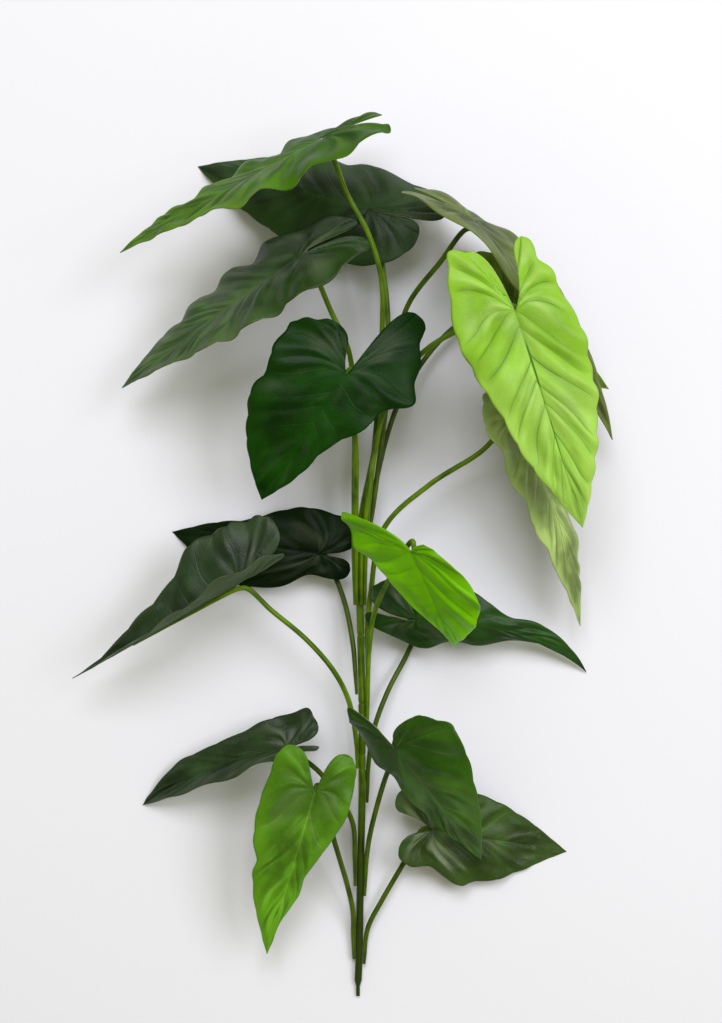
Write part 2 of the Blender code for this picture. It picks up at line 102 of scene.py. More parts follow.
# %% What a leaf is described by
PLAIN_LEAF = dict(
    arch=0.010, arch_at=0.5, bow=0.0,                  # how the midrib rises and swings sideways
    width=(0.060, 0.060), lobe=(0.070, 0.070),         # breadth of a half, length behind the joint
    splay=(0.46, 0.46), notch=(0.06, 0.06),            # where the lobe ends, how the gap opens
    belly=(0.05, 0.05), full=(0.45, 0.45),             # widest place, breadth towards the point
    bumps=((), ()),                                    # swellings and dents of the margin
    roll=0.0, fold=(4.0, 4.0), curl=(-16.0, -16.0),    # turn about the midrib, rise, bend
    fold_tip=(0.0, 0.0), lobe_droop=0.0,               # extra rise at the point, hanging lobes
    scallop=(0.02, 0.02), wave=0.003,                  # margin rounded, and waved up and down
    quilt=0.0010, veins=7,                             # pillows between the veins, and their count
)

# %% The sixteen leaves
LEAVES = {
    "01": dict(
        base=(-0.024, 0.405, 0.130), tip=(-0.216, 0.301, 0.100), arch=0.012,
        lobe=(0.067, 0.074), full=(0.30, 0.55), roll=74.0, fold=(-4.0, 2.0), curl=(-14.0, -8.0),
        fold_tip=(0.0, 12.0), lobe_droop=16.0, wave=0.005, quilt=0.0018, veins=9,
        splay=(0.56, 0.46), scallop=(0.05, 0.02),
        bumps=(((-0.5, 0.08, 0.15), (0.12, 0.13, 0.13), (0.42, 0.06, 0.10)), ()),
    ),
    "02": dict(
        base=(0.026, 0.351, 0.045), tip=(-0.147, 0.399, -0.001), arch=0.008, width=(0.058, 0.060),
        lobe=(0.056, 0.076), splay=(0.20, 0.30), fold=(4.0, -32.0), curl=(-12.0, -18.0),
    ),
    "03": dict(
        base=(-0.044, 0.296, 0.095), tip=(-0.218, 0.171, 0.060), arch=0.012, width=(0.054, 0.058),
        lobe=(0.067, 0.076), splay=(0.46, 0.36), full=(0.35, 0.45), roll=50.0, fold=(12.0, 6.0),
        curl=(-26.0, -26.0), lobe_droop=30.0, scallop=(0.05, 0.03), wave=0.005, quilt=0.0012,
        veins=9, bumps=((), ((-0.6, -0.08, 0.2),)),
    ),
    "04": dict(
        base=(0.133, 0.327, 0.105), tip=(0.270, 0.120, 0.045), arch_at=0.3, bow=0.013,
        width=(0.050, 0.046), lobe=(0.074, 0.080), roll=-78.0, fold=(6.0, -2.0),
        fold_tip=(35.0, -10.0), curl=(0.0, -10.0), lobe_droop=24.0, quilt=0.0015,
    ),
    "05": dict(
        base=(0.165, 0.238, 0.175), tip=(0.231, 0.033, 0.145), width=(0.055, 0.057),
        lobe=(0.066, 0.068), splay=(0.50, 0.50), notch=(0.40, 0.06), belly=(0.15, 0.05),
        full=(0.50, 0.40), fold=(6.0, 8.0), curl=(-24.0, -22.0), scallop=(0.04, 0.03),
        quilt=0.002, veins=8,
        bumps=(
            ((-0.62, -0.26, 0.24), (-0.25, -0.10, 0.12)),
            ((-0.80, 0.14, 0.12), (-0.1, 0.05, 0.2), (0.35, -0.08, 0.15))),
    ),
    "06": dict(
        base=(0.005, 0.181, 0.120), tip=(-0.079, 0.060, 0.070), arch=0.014, width=(0.058, 0.074),
        lobe=(0.090, 0.036), splay=(0.38, 0.50), notch=(0.06, 0.25), belly=(-0.15, 0.15),
        full=(0.25, 0.50), fold=(4.0, 8.0), curl=(-20.0, -16.0), lobe_droop=20.0,
        bumps=(
            ((-0.50, -0.17, 0.18), (0.05, 0.20, 0.09), (0.20, -0.10, 0.07), (0.50, -0.18, 0.18)),
            ((-0.74, -0.07, 0.13), (-0.36, 0.06, 0.07), (0.10, -0.10, 0.10))),
    ),
    "07": dict(
        base=(0.175, 0.131, 0.080), tip=(0.238, -0.066, 0.040), arch=0.008, bow=0.009,
        width=(0.050, 0.041), lobe=(0.050, 0.046), roll=-56.0, fold=(-6.0, -6.0),
        curl=(-8.0, -12.0), scallop=(0.05, 0.06), wave=0.004, quilt=0.0015, veins=8,
    ),
    "08": dict(
        base=(0.172, 0.259, 0.034), tip=(0.271, 0.173, -0.001), arch=0.005, width=(0.028, 0.036),
        lobe=(0.062, 0.060), full=(0.20, 0.45), lobe_droop=25.0, fold=(-4.0, -4.0),
        curl=(-14.0, -14.0), veins=6,
    ),
    "09": dict(
        base=(-0.103, -0.024, 0.080), tip=(-0.269, -0.118, 0.045), arch=0.008,
        width=(0.048, 0.062), lobe=(0.056, 0.062), splay=(0.32, 0.46), belly=(0.0, -0.10),
        full=(0.30, -0.10), roll=47.0, fold=(56.0, 46.0), curl=(4.0, -20.0),
        fold_tip=(-20.0, -30.0), scallop=(0.02, 0.04),
        bumps=((), ((-0.30, -0.14, 0.30), (0.04, -0.06, 0.08), (0.30, 0.14, 0.10), (0.7, 0.06, 0.1))),
    ),
    "10": dict(
        base=(-0.024, 0.006, 0.026), tip=(-0.173, 0.028, -0.001), arch=0.008, width=(0.043, 0.044),
        lobe=(0.034, 0.038), splay=(0.28, 0.50), belly=(0.40, 0.10), full=(0.50, 0.30),
        curl=(-18.0, -18.0), veins=6, bumps=(((-0.46, -0.36, 0.22),), ((0.42, -0.18, 0.22),)),
    ),
    "11": dict(
        base=(0.067, 0.010, 0.145), tip=(0.110, -0.085, 0.055), arch=0.012, width=(0.042, 0.062),
        lobe=(0.006, 0.050), splay=(0.40, 0.98), belly=(0.40, -0.10), full=(0.50, -0.05), roll=38.0,
        scallop=(0.02, 0.0), veins=6,
        bumps=(
            ((-0.7, -0.12, 0.25), (0.1, 0.14, 0.2), (0.50, 0.05, 0.15)),
            ((0.30, -0.10, 0.12), (0.62, 0.06, 0.15))),
    ),
    "12": dict(
        base=(0.075, -0.060, 0.048), tip=(0.248, -0.115, 0.002), arch=0.012, arch_at=0.7,
        bow=0.018, width=(0.040, 0.032), lobe=(0.048, 0.052), splay=(0.60, -0.12),
        full=(0.20, 0.20), lobe_droop=4.0, fold=(2.0, -30.0), curl=(-18.0, -14.0), wave=0.004,
        veins=6,
        bumps=(
            ((0.45, -0.30, 0.14),),
            ((-0.5, -0.12, 0.15), (0.2, -0.12, 0.12), (0.60, -0.28, 0.18))),
    ),
    "13": dict(
        base=(-0.057, -0.188, 0.045), tip=(-0.203, -0.250, -0.001), arch=0.008, bow=-0.010,
        width=(0.036, 0.034), lobe=(0.036, 0.036), full=(0.50, 0.45), roll=52.0,
        fold=(33.0, 36.0), curl=(-8.0, -16.0), fold_tip=(-35.0, 0.0), veins=6,
        bumps=((), ((-0.45, 0.28, 0.2), (0.28, -0.24, 0.24), (0.58, 0.06, 0.08))),
    ),
    "14": dict(
        base=(-0.026, -0.227, 0.085), tip=(-0.075, -0.393, 0.045), width=(0.036, 0.049),
        lobe=(0.044, 0.038), splay=(0.50, 0.65), notch=(0.06, 0.25), belly=(0.0, 0.15),
        full=(0.25, 0.45), fold=(6.0, 4.0), curl=(-16.0, -18.0), fold_tip=(-40.0, 0.0), veins=6,
        bumps=(((0.45, -0.22, 0.15), (0.78, -0.14, 0.12)), ((0.33, -0.12, 0.08),)),
    ),
    "15": dict(
        base=(0.053, -0.182, 0.112), tip=(0.139, -0.299, 0.042), width=(0.060, 0.050),
        lobe=(0.022, 0.056), splay=(0.50, 0.56), full=(0.35, 0.45), roll=35.0,
        fold=(4.0, -20.0), curl=(-16.0, -12.0), veins=6,
        bumps=(((0.0, 0.12, 0.2),), ((-0.72, -0.16, 0.20), (0.30, -0.10, 0.08))),
    ),
    "16": dict(
        base=(0.090, -0.272, 0.032), tip=(0.228, -0.297, -0.016), arch=0.006,
        width=(0.046, 0.046), lobe=(0.042, 0.030), splay=(0.50, 0.50), notch=(0.40, 0.06),
        belly=(0.10, 0.25), full=(0.40, 0.40), curl=(-14.0, -14.0), veins=6,
        bumps=((), ((-0.35, -0.18, 0.2), (0.0, 0.08, 0.1))),
    ),
}
LEAVES = {number: {**PLAIN_LEAF, **plan} for number, plan in LEAVES.items()}
print("leaves:", len(LEAVES), "with", sum(plan["veins"] for plan in LEAVES.values()), "vein pairs")

# %% [markdown]
# ## The midrib
# Everything on a leaf is measured from its midrib, so that comes first. It is a simple arch from the
# joint to the point. At each place along it there are three directions: forward, across to the left,
# and up out of the sheet. The roll turns the last two about the first, which tips the whole leaf.

# %% Midrib with its three directions
MIDRIB_SAMPLES = 400


def midrib(plan):
    """Parabola from base to tip whose middle is pushed up by arch and to the left by bow.

    Returns the distance along it, its points, and its forward, across and up directions.
    """
    base, tip = np.array(plan["base"]), np.array(plan["tip"])
    span = tip - base
    level = unit(np.cross((0.0, 0.0, 1.0), span))
    upward = unit(np.cross(span, level))
    middle = base + span * plan["arch_at"] + 2 * plan["arch"] * upward + 2 * plan["bow"] * level
    t = np.linspace(0.0, 1.0, MIDRIB_SAMPLES)[:, None]
    points = (1 - t) ** 2 * base + 2 * t * (1 - t) * middle + t**2 * tip
    s = np.concatenate([[0.0], np.cumsum(np.linalg.norm(np.diff(points, axis=0), axis=1))])
    forward = unit(np.gradient(points, s, axis=0))
    sideways = unit(level - (forward @ level)[:, None] * forward)
    normal = np.cross(forward, sideways)
    turn = math.radians(plan["roll"])
    across = math.cos(turn) * sideways + math.sin(turn) * normal
    up = -math.sin(turn) * sideways + math.cos(turn) * normal
    return s, points, forward, across, up


def read_along(s, values, where):
    """Vectors that are given along s, read at the distances where."""
    return np.stack([np.interp(where, s, values[:, k]) for k in range(3)], axis=-1)


midrib_lengths = {number: midrib(plan)[0][-1] for number, plan in LEAVES.items()}
print("midribs in metres:", {number: round(size, 3) for number, size in midrib_lengths.items()})

# %% [markdown]
# ## The flat pattern of half a leaf
# A leaf cut from sheet starts flat. Half of it is a grid of rows and columns: rows start at the tip
# of the lobe, pass the joint and end at the leaf's point, and columns run from the midrib, or from
# the gap between the lobes, out to the margin. Three Bezier curves draw the gap, the shoulder round
# the lobe and the front edge. A hand-drawn outline with a fill would be quicker, but its mesh would
# ignore the veins. On this grid each vein is a line of constant phase, which both the relief and the
# colours can follow later. The handles of the curves are shares of the half's own length and width.

# %% Flat pattern
LOBE_VEINS = 3
ROWS_PER_VEIN = 16
COLUMNS = 27
ROW_PACE = (0.8, 0.2)            # rows lie at 0.8 t + 0.2 t^2, so a little closer near the joint
GAP_BACK = (0.45, 0.98)          # how far back the gap's two handles lie, in lobe lengths
GAP_INSET = 0.36                 # how far inside the lobe's end the second one lies, in widths
SHOULDER_BACK = (1.02, 0.55)     # the same for the shoulder's handles
SHOULDER_OUTSET = 0.38
SWELL_ALONG = (0.2, 0.4)         # front handle: its place for fullness 0, and the gain at fullness 1
SWELL_OUT = (1.0, 0.04)
TAPER_ALONG = (0.58, 0.38)       # the same for the handle towards the point
TAPER_OUT = (0.1, 0.8)
BUMP_TURN = 1.5                  # how late a lobe's bumps turn from outwards to backwards
SCALLOP_FADE = 3.0               # how fast the rounding between veins fades at the two ends


def grown(pair, full):
    """The first number plus the second times the fullness."""
    return pair[0] + pair[1] * full


def outline(plan, half, length, t_lobe, t_front):
    """Inner line: the gap's Bezier, then the midrib. Outer line: the shoulder's, then the edge's."""
    width, lobe, splay = plan["width"][half], plan["lobe"][half], plan["splay"][half]
    belly, full = plan["belly"][half] * length, plan["full"][half]
    gap = bezier([(0, 0), (-GAP_BACK[0] * lobe, plan["notch"][half] * width),
                  (-GAP_BACK[1] * lobe, (splay - GAP_INSET) * width), (-lobe, splay * width)],
                 1 - t_lobe)
    shoulder = bezier([(-lobe, splay * width),
                       (-SHOULDER_BACK[0] * lobe, min(splay + SHOULDER_OUTSET, 1.0) * width),
                       (belly - SHOULDER_BACK[1] * (lobe + belly), width), (belly, width)], t_lobe)
    rib = np.stack([length * (ROW_PACE[0] * t_front + ROW_PACE[1] * t_front**2), 0 * t_front], axis=-1)
    swell = (belly + grown(SWELL_ALONG, full) * (length - belly), width * grown(SWELL_OUT, full))
    taper = (grown(TAPER_ALONG, full) * length, grown(TAPER_OUT, full) * width)
    edge = bezier([(belly, width), swell, taper, (length, 0)], t_front)
    return np.vstack([gap, rib]), np.vstack([shoulder, edge])


def flat_half(plan, half, length):
    """Straight rows from the inner line to the outer one, which bumps and scallops push outwards.

    A bump adds width * height * exp(-((place - middle) / reach)^2), where place runs from -1 at the
    lobe's end past 0 beside the joint to 1 at the point. Scallops add |sin(pi * phase)|.
    """
    width = plan["width"][half]
    t_lobe = np.linspace(0.0, 1.0, LOBE_VEINS * ROWS_PER_VEIN, endpoint=False)
    t_front = np.linspace(0.0, 1.0, plan["veins"] * ROWS_PER_VEIN + 1)
    inner, outer = outline(plan, half, length, t_lobe, t_front)
    place = np.concatenate([t_lobe - 1, t_front])
    facing = math.pi / 2 * np.clip(-place, 0.0, 1.0) ** BUMP_TURN
    outward = np.stack([-np.sin(facing), np.cos(facing)], axis=-1)
    for middle, height, reach in plan["bumps"][half]:
        outer += width * height * np.exp(-((place - middle) / reach) ** 2)[:, None] * outward
    phase = np.concatenate([LOBE_VEINS * (t_lobe - 1), plan["veins"] * t_front])
    rounds = np.abs(np.sin(math.pi * phase)) * np.clip(SCALLOP_FADE * (1 - np.abs(place)), 0.0, 1.0)
    outer += width * plan["scallop"][half] * rounds[:, None] * outward
    outer[-1] = (length, 0.0)
    v = np.linspace(0.0, 1.0, COLUMNS)
    grid = inner[:, None, :] + v[None, :, None] * (outer - inner)[:, None, :]
    return grid[..., 0], grid[..., 1], v, phase


test_half = flat_half(LEAVES["05"], 0, midrib_lengths["05"])
print("rows and columns of the left half of leaf 05:", test_half[0].shape)

# %% [markdown]
# ## Where the veins run
# Ahead of the joint, side veins leave the midrib and sweep forward to the margin. In the lobes they
# fan out from the joint. A single number per point, the vein phase, says how many veins have been
# passed, so a vein lies wherever the phase is whole. A second number, the reach, is 0 at the midrib
# or joint and 1 at the margin. Painting veins by hand would also work, but they would not line up
# with the pressed relief.

# %% Vein phase and reach
VEIN_SWEEP = 1.15                # how many veins further a vein meets the margin than the midrib
VEIN_BEND = 1.3
GAP_PHASE = 0.5                  # the gap's border counts half a vein past the lobe's end
LEAST_LENGTH = 1e-6


def vein_field(along, out, v, phase):
    """Front: phase = row phase + sweep (1 - v)^bend. Lobes: the same along rays from the joint.

    A ray's row phase is read from the outline's angle round the joint, and its reach is the
    distance from the joint divided by the outline's distance in that direction.
    """
    lobe_rows = LOBE_VEINS * ROWS_PER_VEIN
    reach = np.broadcast_to(v, along.shape).copy()
    ray = np.broadcast_to(phase[:, None], along.shape).copy()
    margin, gap = slice(lobe_rows, None, -1), slice(1, lobe_rows)
    border_along = np.concatenate([along[margin, -1], along[gap, 0]])
    border_out = np.concatenate([out[margin, -1], out[gap, 0]])
    border_phase = np.concatenate([phase[margin], np.full(lobe_rows - 1, phase[0] - GAP_PHASE)])
    angle = np.maximum.accumulate(np.arctan2(border_out, border_along))
    far = np.hypot(border_along, border_out)
    here = np.arctan2(out[:lobe_rows], along[:lobe_rows])
    ray[:lobe_rows] = np.interp(here, angle, border_phase)
    distance = np.hypot(along[:lobe_rows], out[:lobe_rows])
    reach[:lobe_rows] = np.clip(distance / (np.interp(here, angle, far) + LEAST_LENGTH), 0.0, 1.0)
    return ray + VEIN_SWEEP * (1 - reach) ** VEIN_BEND, reach


test_vein = vein_field(*test_half)[0]
print("vein phase of that half: from", round(test_vein.min(), 2), "to", round(test_vein.max(), 2))

# %% [markdown]
# ## From flat pattern to bent sheet
# Each half is folded up or down at the midrib and then bends further towards its margin, like a page
# held in the hand. The lobes hang back and down. The formula bends a strip into a circle's arc, which
# keeps its width, so nothing is stretched. A lattice that is bent by hand could do it too, but then
# each of the sixteen leaves would be hand work.

# %% Bent half
SHEET_THICKNESS = 0.0009
LEAST_DROOP = 1e-7               # keep the two divisions below defined where nothing bends
LEAST_CURL = 1e-6


def bent_half(plan, half, along, out):
    """Points and normals of the bent half: the centre line, minus the lobe's bend, plus an arc.

    The arc's angle is curl, and slope = fold + curl * out / width. It shifts a point sideways by
    width/curl (sin(slope) - sin(fold)) and lifts it by width/curl (cos(fold) - cos(slope)).
    """
    s, points, *ways = midrib(plan)
    side = (1.0, -1.0)[half]
    ahead = np.clip(along, 0.0, s[-1])
    centre = read_along(s, points, ahead)
    forward, across, up = (unit(read_along(s, way, ahead)) for way in ways)
    droop = math.radians(plan["lobe_droop"]) / max(plan["lobe"]) + LEAST_DROOP
    angle = np.clip(-along, 0.0, None) * droop
    back = (np.sin(angle) / droop)[..., None]
    down = ((1 - np.cos(angle)) / droop)[..., None]
    centre = centre - back * forward - down * up
    up = np.cos(angle)[..., None] * up - np.sin(angle)[..., None] * forward
    width = plan["width"][half]
    fold = np.radians(plan["fold"][half] + plan["fold_tip"][half] * ahead / s[-1])
    curl = math.radians(plan["curl"][half]) + LEAST_CURL
    slope = fold + curl * out / width
    shift = width / curl * (np.sin(slope) - np.sin(fold))
    rise = width / curl * (np.cos(fold) - np.cos(slope))
    normal = -side * np.sin(slope)[..., None] * across + np.cos(slope)[..., None] * up
    return centre + side * shift[..., None] * across + rise[..., None] * up, normal


# %% [markdown]
# ## Relief on the sheet
# The veins of such a leaf are pressed into it, and the sheet stands up between them in pillows. Its
# margin waves, a groove runs over the midrib, and the whole sheet is a little crumpled. Sculpting
# would give the same, but a formula in vein phase and reach keeps every leaf's relief on its veins.
# No real vein is quite straight, so the vein phase wanders first, and all else wanders with it.

# %% Relief
SHARP_VEINS = ("01", "03", "05", "07", "11", "14")
RIB_GROOVE_DEPTH = 0.0006
RIB_GROOVE_WIDTH = 0.0022
CRUMPLE = {"01": 0.0018, "03": 0.0012, "05": 0.0024, "07": 0.0010, "14": 0.0014, "15": 0.0012,
           "16": 0.0012}
PLAIN_CRUMPLE = 0.0008
CRUMPLE_PACES = ((2.9, 4.1), (1.7, -5.3))    # how fast two slow waves run with vein and reach
CRUMPLE_RISE = 2.0                           # full from the middle of the reach outwards
VEIN_WANDER = 0.20
WANDER_PACES = ((2.3, 0.0), (1.3, 5.1))
WANDER_SHARE = 0.5                           # the second wave beside the first
WANDER_START = 1.7                           # makes each leaf's wander start elsewhere
PILLOW_LEAN = 0.7                            # under 1: fullest past the middle of the reach
PILLOW_CROWN = 0.7                           # under 1: broader on top
RELIEF_SPAN = 0.4                            # rows shorter than this share of the width ease it off
WAVE_LAG = 1.3                               # how far apart the two margins' waves start
HALF_START = 2.0                             # and the slow waves of the two halves


def slow_angle(paces, vein, reach):
    """Angle of a slow wave that crosses the sheet at a slant: pace * vein + pace * reach."""
    return paces[0] * vein + paces[1] * reach


def wander(number, half, vein, reach):
    """Vein phase + wander * (sin(slow angle + start) + share * sin(slow angle))."""
    start = WANDER_START * int(number) + HALF_START * half
    first, second = (slow_angle(paces, vein, reach) for paces in WANDER_PACES)
    return vein + VEIN_WANDER * (np.sin(first + start) + WANDER_SHARE * np.sin(second))


def relief(number, plan, half, along, out, phase, vein, reach):
    """Pillow quilt sin(pi vein)^p + wave (out/width)^2 sin(pi phase) + crumple - groove.

    p is 1 for sharp veins and 2 for soft ones. The crumple is sin(slow angle) * cos(slow angle).
    """
    width = plan["width"][half]
    span = np.hypot(along[:, -1] - along[:, 0], out[:, -1] - out[:, 0])
    ease = np.clip(span / (RELIEF_SPAN * width), 0.0, 1.0)[:, None]
    middle = np.clip(4 * reach * (1 - reach) ** PILLOW_LEAN, 0, 1) ** PILLOW_CROWN
    power = 1 if number in SHARP_VEINS else 2
    pillow = plan["quilt"] * np.abs(np.sin(math.pi * vein)) ** power * middle
    start = int(number) + HALF_START * half
    first, second = (slow_angle(paces, vein, reach) for paces in CRUMPLE_PACES)
    slow = np.sin(first + start) * np.cos(second + 2 * start)
    crumple = CRUMPLE.get(number, PLAIN_CRUMPLE) * slow * np.clip(CRUMPLE_RISE * reach, 0.0, 1.0)
    turns = math.pi * phase[:, None] + WAVE_LAG * half
    ripple = plan["wave"] * (out / width) ** 2 * np.sin(turns)
    groove = RIB_GROOVE_DEPTH * np.exp(-((out / RIB_GROOVE_WIDTH) ** 2)) * (along > 0)
    return ease * (pillow + ripple + crumple - groove)


# %% Bent half with its relief
def half_surface(number, plan, half):
    """Bent half + relief along its normals, kept above the floor by half the sheet's thickness."""
    along, out, v, phase = flat_half(plan, half, midrib_lengths[number])
    vein, reach = vein_field(along, out, v, phase)
    vein = wander(number, half, vein, reach)
    grid, normal = bent_half(plan, half, along, out)
    grid = grid + relief(number, plan, half, along, out, phase, vein, reach)[..., None] * normal
    grid[..., 2] = np.maximum(grid[..., 2], SHEET_THICKNESS / 2)
    return grid, vein, reach


test_grid = half_surface("05", LEAVES["05"], 0)[0]
print("left half of leaf 05, lowest and highest point:", test_grid[..., 2].min().round(4),
      test_grid[..., 2].max().round(4))

# %% [markdown]
# ## Closing the sheet
# A surface has no thickness, and light would show that at once along the margin. The two halves are
# joined along the midrib, a copy is pushed to each side along the surface normals, and a narrow rim
# joins the two copies. A Solidify modifier does the same, but here each point also carries a small
# record for the finishes: its vein phase, its reach, and whether it is on the underside.

# %% Meshes from arrays
def put_mesh(name, points, faces, pattern, smooth):
    """A mesh object from arrays, with one pattern vector per point and a smooth flag per face."""
    mesh = bpy.data.meshes.new(name)
    mesh.from_pydata(points.tolist(), [], faces)
    mesh.polygons.foreach_set("use_smooth", smooth)
    if pattern is not None:
        store = mesh.attributes.new("pattern", "FLOAT_VECTOR", "POINT")
        store.data.foreach_set("vector", pattern.astype(np.float32).ravel())
    mesh.update()
    thing = bpy.data.objects.new(name, mesh)
    bpy.context.scene.collection.objects.link(thing)
    return thing


def grid_faces(index):
    """Quads of a grid of point numbers, and triangles where two of a quad's corners are the same."""
    corners = [index[:-1, :-1], index[1:, :-1], index[1:, 1:], index[:-1, 1:]]
    quads = np.stack(corners, axis=-1).reshape(-1, 4)
    first, last = quads[:, 0] == quads[:, 3], quads[:, 1] == quads[:, 2]
    whole = quads[~(first | last)].tolist()
    return whole + quads[first][:, [0, 1, 2]].tolist() + quads[last][:, [0, 1, 3]].tolist()


print("faces of a grid of 3 by 3 points:", grid_faces(np.arange(9).reshape(3, 3)))


# %% Two copies and a rim
def point_normals(points, faces):
    """Normals of an open sheet, averaged at its points by Blender."""
    mesh = bpy.data.meshes.new("measure")
    mesh.from_pydata(points.tolist(), [], faces)
    normals = np.zeros(len(points) * 3, np.float32)
    mesh.vertex_normals.foreach_get("vector", normals)
    bpy.data.meshes.remove(mesh)
    return normals.reshape(-1, 3).astype(float)


def close_sheet(name, points, faces, rim, pattern):
    """Upper copy = point + t/2 normal, lower copy = point - t/2 normal, joined along the rim."""
    normals = point_normals(points, faces)
    count = len(points)
    shell = np.vstack([points + SHEET_THICKNESS / 2 * normals, points - SHEET_THICKNESS / 2 * normals])
    under = [[corner + count for corner in reversed(face)] for face in faces]
    following = np.roll(rim, -1)
    band = np.stack([rim, rim + count, following + count, following], axis=-1).tolist()
    smooth = [True] * (2 * len(faces)) + [False] * len(band)
    both = np.vstack([pattern, pattern])
    both[count:, 2] = 1.0
    return put_mesh(name, shell, faces + under + band, both, smooth)


# %% One whole leaf
def leaf(number, plan):
    """Both halves on one set of points: they share the midrib, and each pole is one point."""
    halves = [half_surface(number, plan, half) for half in (0, 1)]
    rows = halves[0][0].shape[0]
    lobe_rows = LOBE_VEINS * ROWS_PER_VEIN
    index = np.arange(2 * rows * COLUMNS).reshape(2, rows, COLUMNS)
    index[1, lobe_rows:, 0] = index[0, lobe_rows:, 0]
    index[:, 0, :] = index[:, 0, :1]
    index[:, -1, :] = index[0, -1, 0]
    used, index = np.unique(index, return_inverse=True)
    index = index.reshape(2, rows, COLUMNS)
    points = np.stack([grid for grid, vein, reach in halves]).reshape(-1, 3)[used]
    vein = np.stack([vein for grid, vein, reach in halves]).ravel()[used]
    reach = np.stack([reach for grid, vein, reach in halves]).ravel()[used]
    right = [face[::-1] for face in grid_faces(index[1])]
    faces = grid_faces(index[0]) + right
    rim = np.concatenate([
        index[0, lobe_rows:0:-1, 0], index[0, 0:rows - 1, -1],
        index[1, rows - 1:0:-1, -1], index[1, 0:lobe_rows, 0]])
    pattern = np.stack([vein, reach, 0 * vein], axis=-1)
    return close_sheet("blade_" + number, points, faces, rim[::-1], pattern)


blades = {number: leaf(number, plan) for number, plan in LEAVES.items()}
print("faces of the leaves:", sum(len(blade.data.polygons) for blade in blades.values()))

# %% [markdown]
# ## The main stem
# The stem is a plastic-covered wire. It is a round tube whose middle follows a slightly bent line,
# thinner at the foot, where the bare wire ends in a peg, and a little thinner at the head. The stalks
# lie against it for a few centimetres before they leave. A tube is a circle carried along a path: at
# each point of the path two directions at right angles to it span the circle. A curve object with a
# round bevel would do as well, but here each point also records where it lies on the tube, for the
# streaks of its finish.

# %% Tube along a path
STEM_RADIUS = 0.0037
STEM_HEAD_RADIUS = 0.0034
STEM_PEG_RADIUS = 0.0019
PEG_ENDS = (0.010, 0.016)        # distances from the foot between which the peg widens into the stem
HEAD_TAPER = 0.040
STEM_ROUTE = (
    (0.016, -0.443, 0.0023), (0.016, -0.431, 0.0032), (0.017, -0.406, 0.0055),
    (0.018, -0.345, 0.0100), (0.019, -0.293, 0.0150), (0.020, -0.242, 0.0200),
    (0.020, -0.191, 0.0250), (0.020, -0.141, 0.0300), (0.019, -0.090, 0.0340),
    (0.018, -0.040, 0.0370), (0.018, 0.009, 0.0395),
)
TUBE_SIDES = 20


def tube(name, route, radii):
    """Point on ring = route + radius (cos(angle) side + sin(angle) up); a fan closes each end."""
    count = len(route)
    tangent = unit(np.gradient(route, axis=0))
    flat = np.linalg.svd(route - route.mean(0), full_matrices=False)[2][2]
    up = unit(flat - (tangent @ flat)[:, None] * tangent)
    side = np.cross(tangent, up)
    angle = np.linspace(0.0, 2 * math.pi, TUBE_SIDES, endpoint=False)
    ring = np.cos(angle)[:, None] * side[:, None, :] + np.sin(angle)[:, None] * up[:, None, :]
    points = route[:, None, :] + np.broadcast_to(radii, (TUBE_SIDES, count)).T[..., None] * ring
    index = np.arange(count * TUBE_SIDES).reshape(count, TUBE_SIDES)
    loop = np.hstack([index, index[:, :1]])
    faces = [face[::-1] for face in grid_faces(loop)]
    first, last = count * TUBE_SIDES, count * TUBE_SIDES + 1
    faces += [[first, b, a] for a, b in zip(loop[0, :-1].tolist(), loop[0, 1:].tolist())]
    faces += [[last, a, b] for a, b in zip(loop[-1, :-1].tolist(), loop[-1, 1:].tolist())]
    points = np.vstack([points.reshape(-1, 3), route[:1], route[-1:]])
    lengthwise = np.concatenate([[0.0], np.cumsum(np.linalg.norm(np.diff(route, axis=0), axis=1))])
    turned = np.stack(np.broadcast_arrays(np.cos(angle)[None], np.sin(angle)[None],
                                          lengthwise[:, None]), axis=-1)
    ends = np.array([[0.0, 0.0, 0.0], [0.0, 0.0, lengthwise[-1]]])
    pattern = np.vstack([turned.reshape(-1, 3), ends])
    smooth = [True] * (len(faces) - 2 * TUBE_SIDES) + [False] * (2 * TUBE_SIDES)
    return put_mesh(name, points, faces, pattern, smooth)


def stem_radius(y):
    """Radius of the stem: peg at the foot, full along the middle, slimmer at the head."""
    foot, head = STEM_ROUTE[0][1], STEM_ROUTE[-1][1]
    places = (foot, foot + PEG_ENDS[0], foot + PEG_ENDS[1], head - HEAD_TAPER, head)
    radii = (STEM_PEG_RADIUS, STEM_PEG_RADIUS, STEM_RADIUS, STEM_RADIUS, STEM_HEAD_RADIUS)
    return np.interp(y, places, radii)


# %% Stem and its notch rings
STEM_STEP = 0.0012
STEM_CURVE_STEPS = 8
RING_PLACES = (-0.210, -0.196, -0.154, -0.144, -0.075, -0.020)
RING_DEPTH = 0.0007
RING_WIDTH = 0.0011


def stem_line():
    """The stem's route, read at even steps along Y."""
    curve = smooth_line(STEM_ROUTE, STEM_CURVE_STEPS)
    count = int((STEM_ROUTE[-1][1] - STEM_ROUTE[0][1]) / STEM_STEP)
    y = np.linspace(STEM_ROUTE[0][1], STEM_ROUTE[-1][1], count)
    x = np.interp(y, curve[:, 1], curve[:, 0])
    z = np.interp(y, curve[:, 1], curve[:, 2])
    return np.stack([x, y, z], axis=-1)


stem_path = stem_line()
stem_radii = stem_radius(stem_path[:, 1])
for place in RING_PLACES:
    stem_radii -= RING_DEPTH * np.exp(-((stem_path[:, 1] - place) / RING_WIDTH) ** 2)
stem = tube("stem_rod", stem_path, stem_radii)
print("stem:", len(stem_path), "rings of points,", len(stem.data.polygons), "faces")

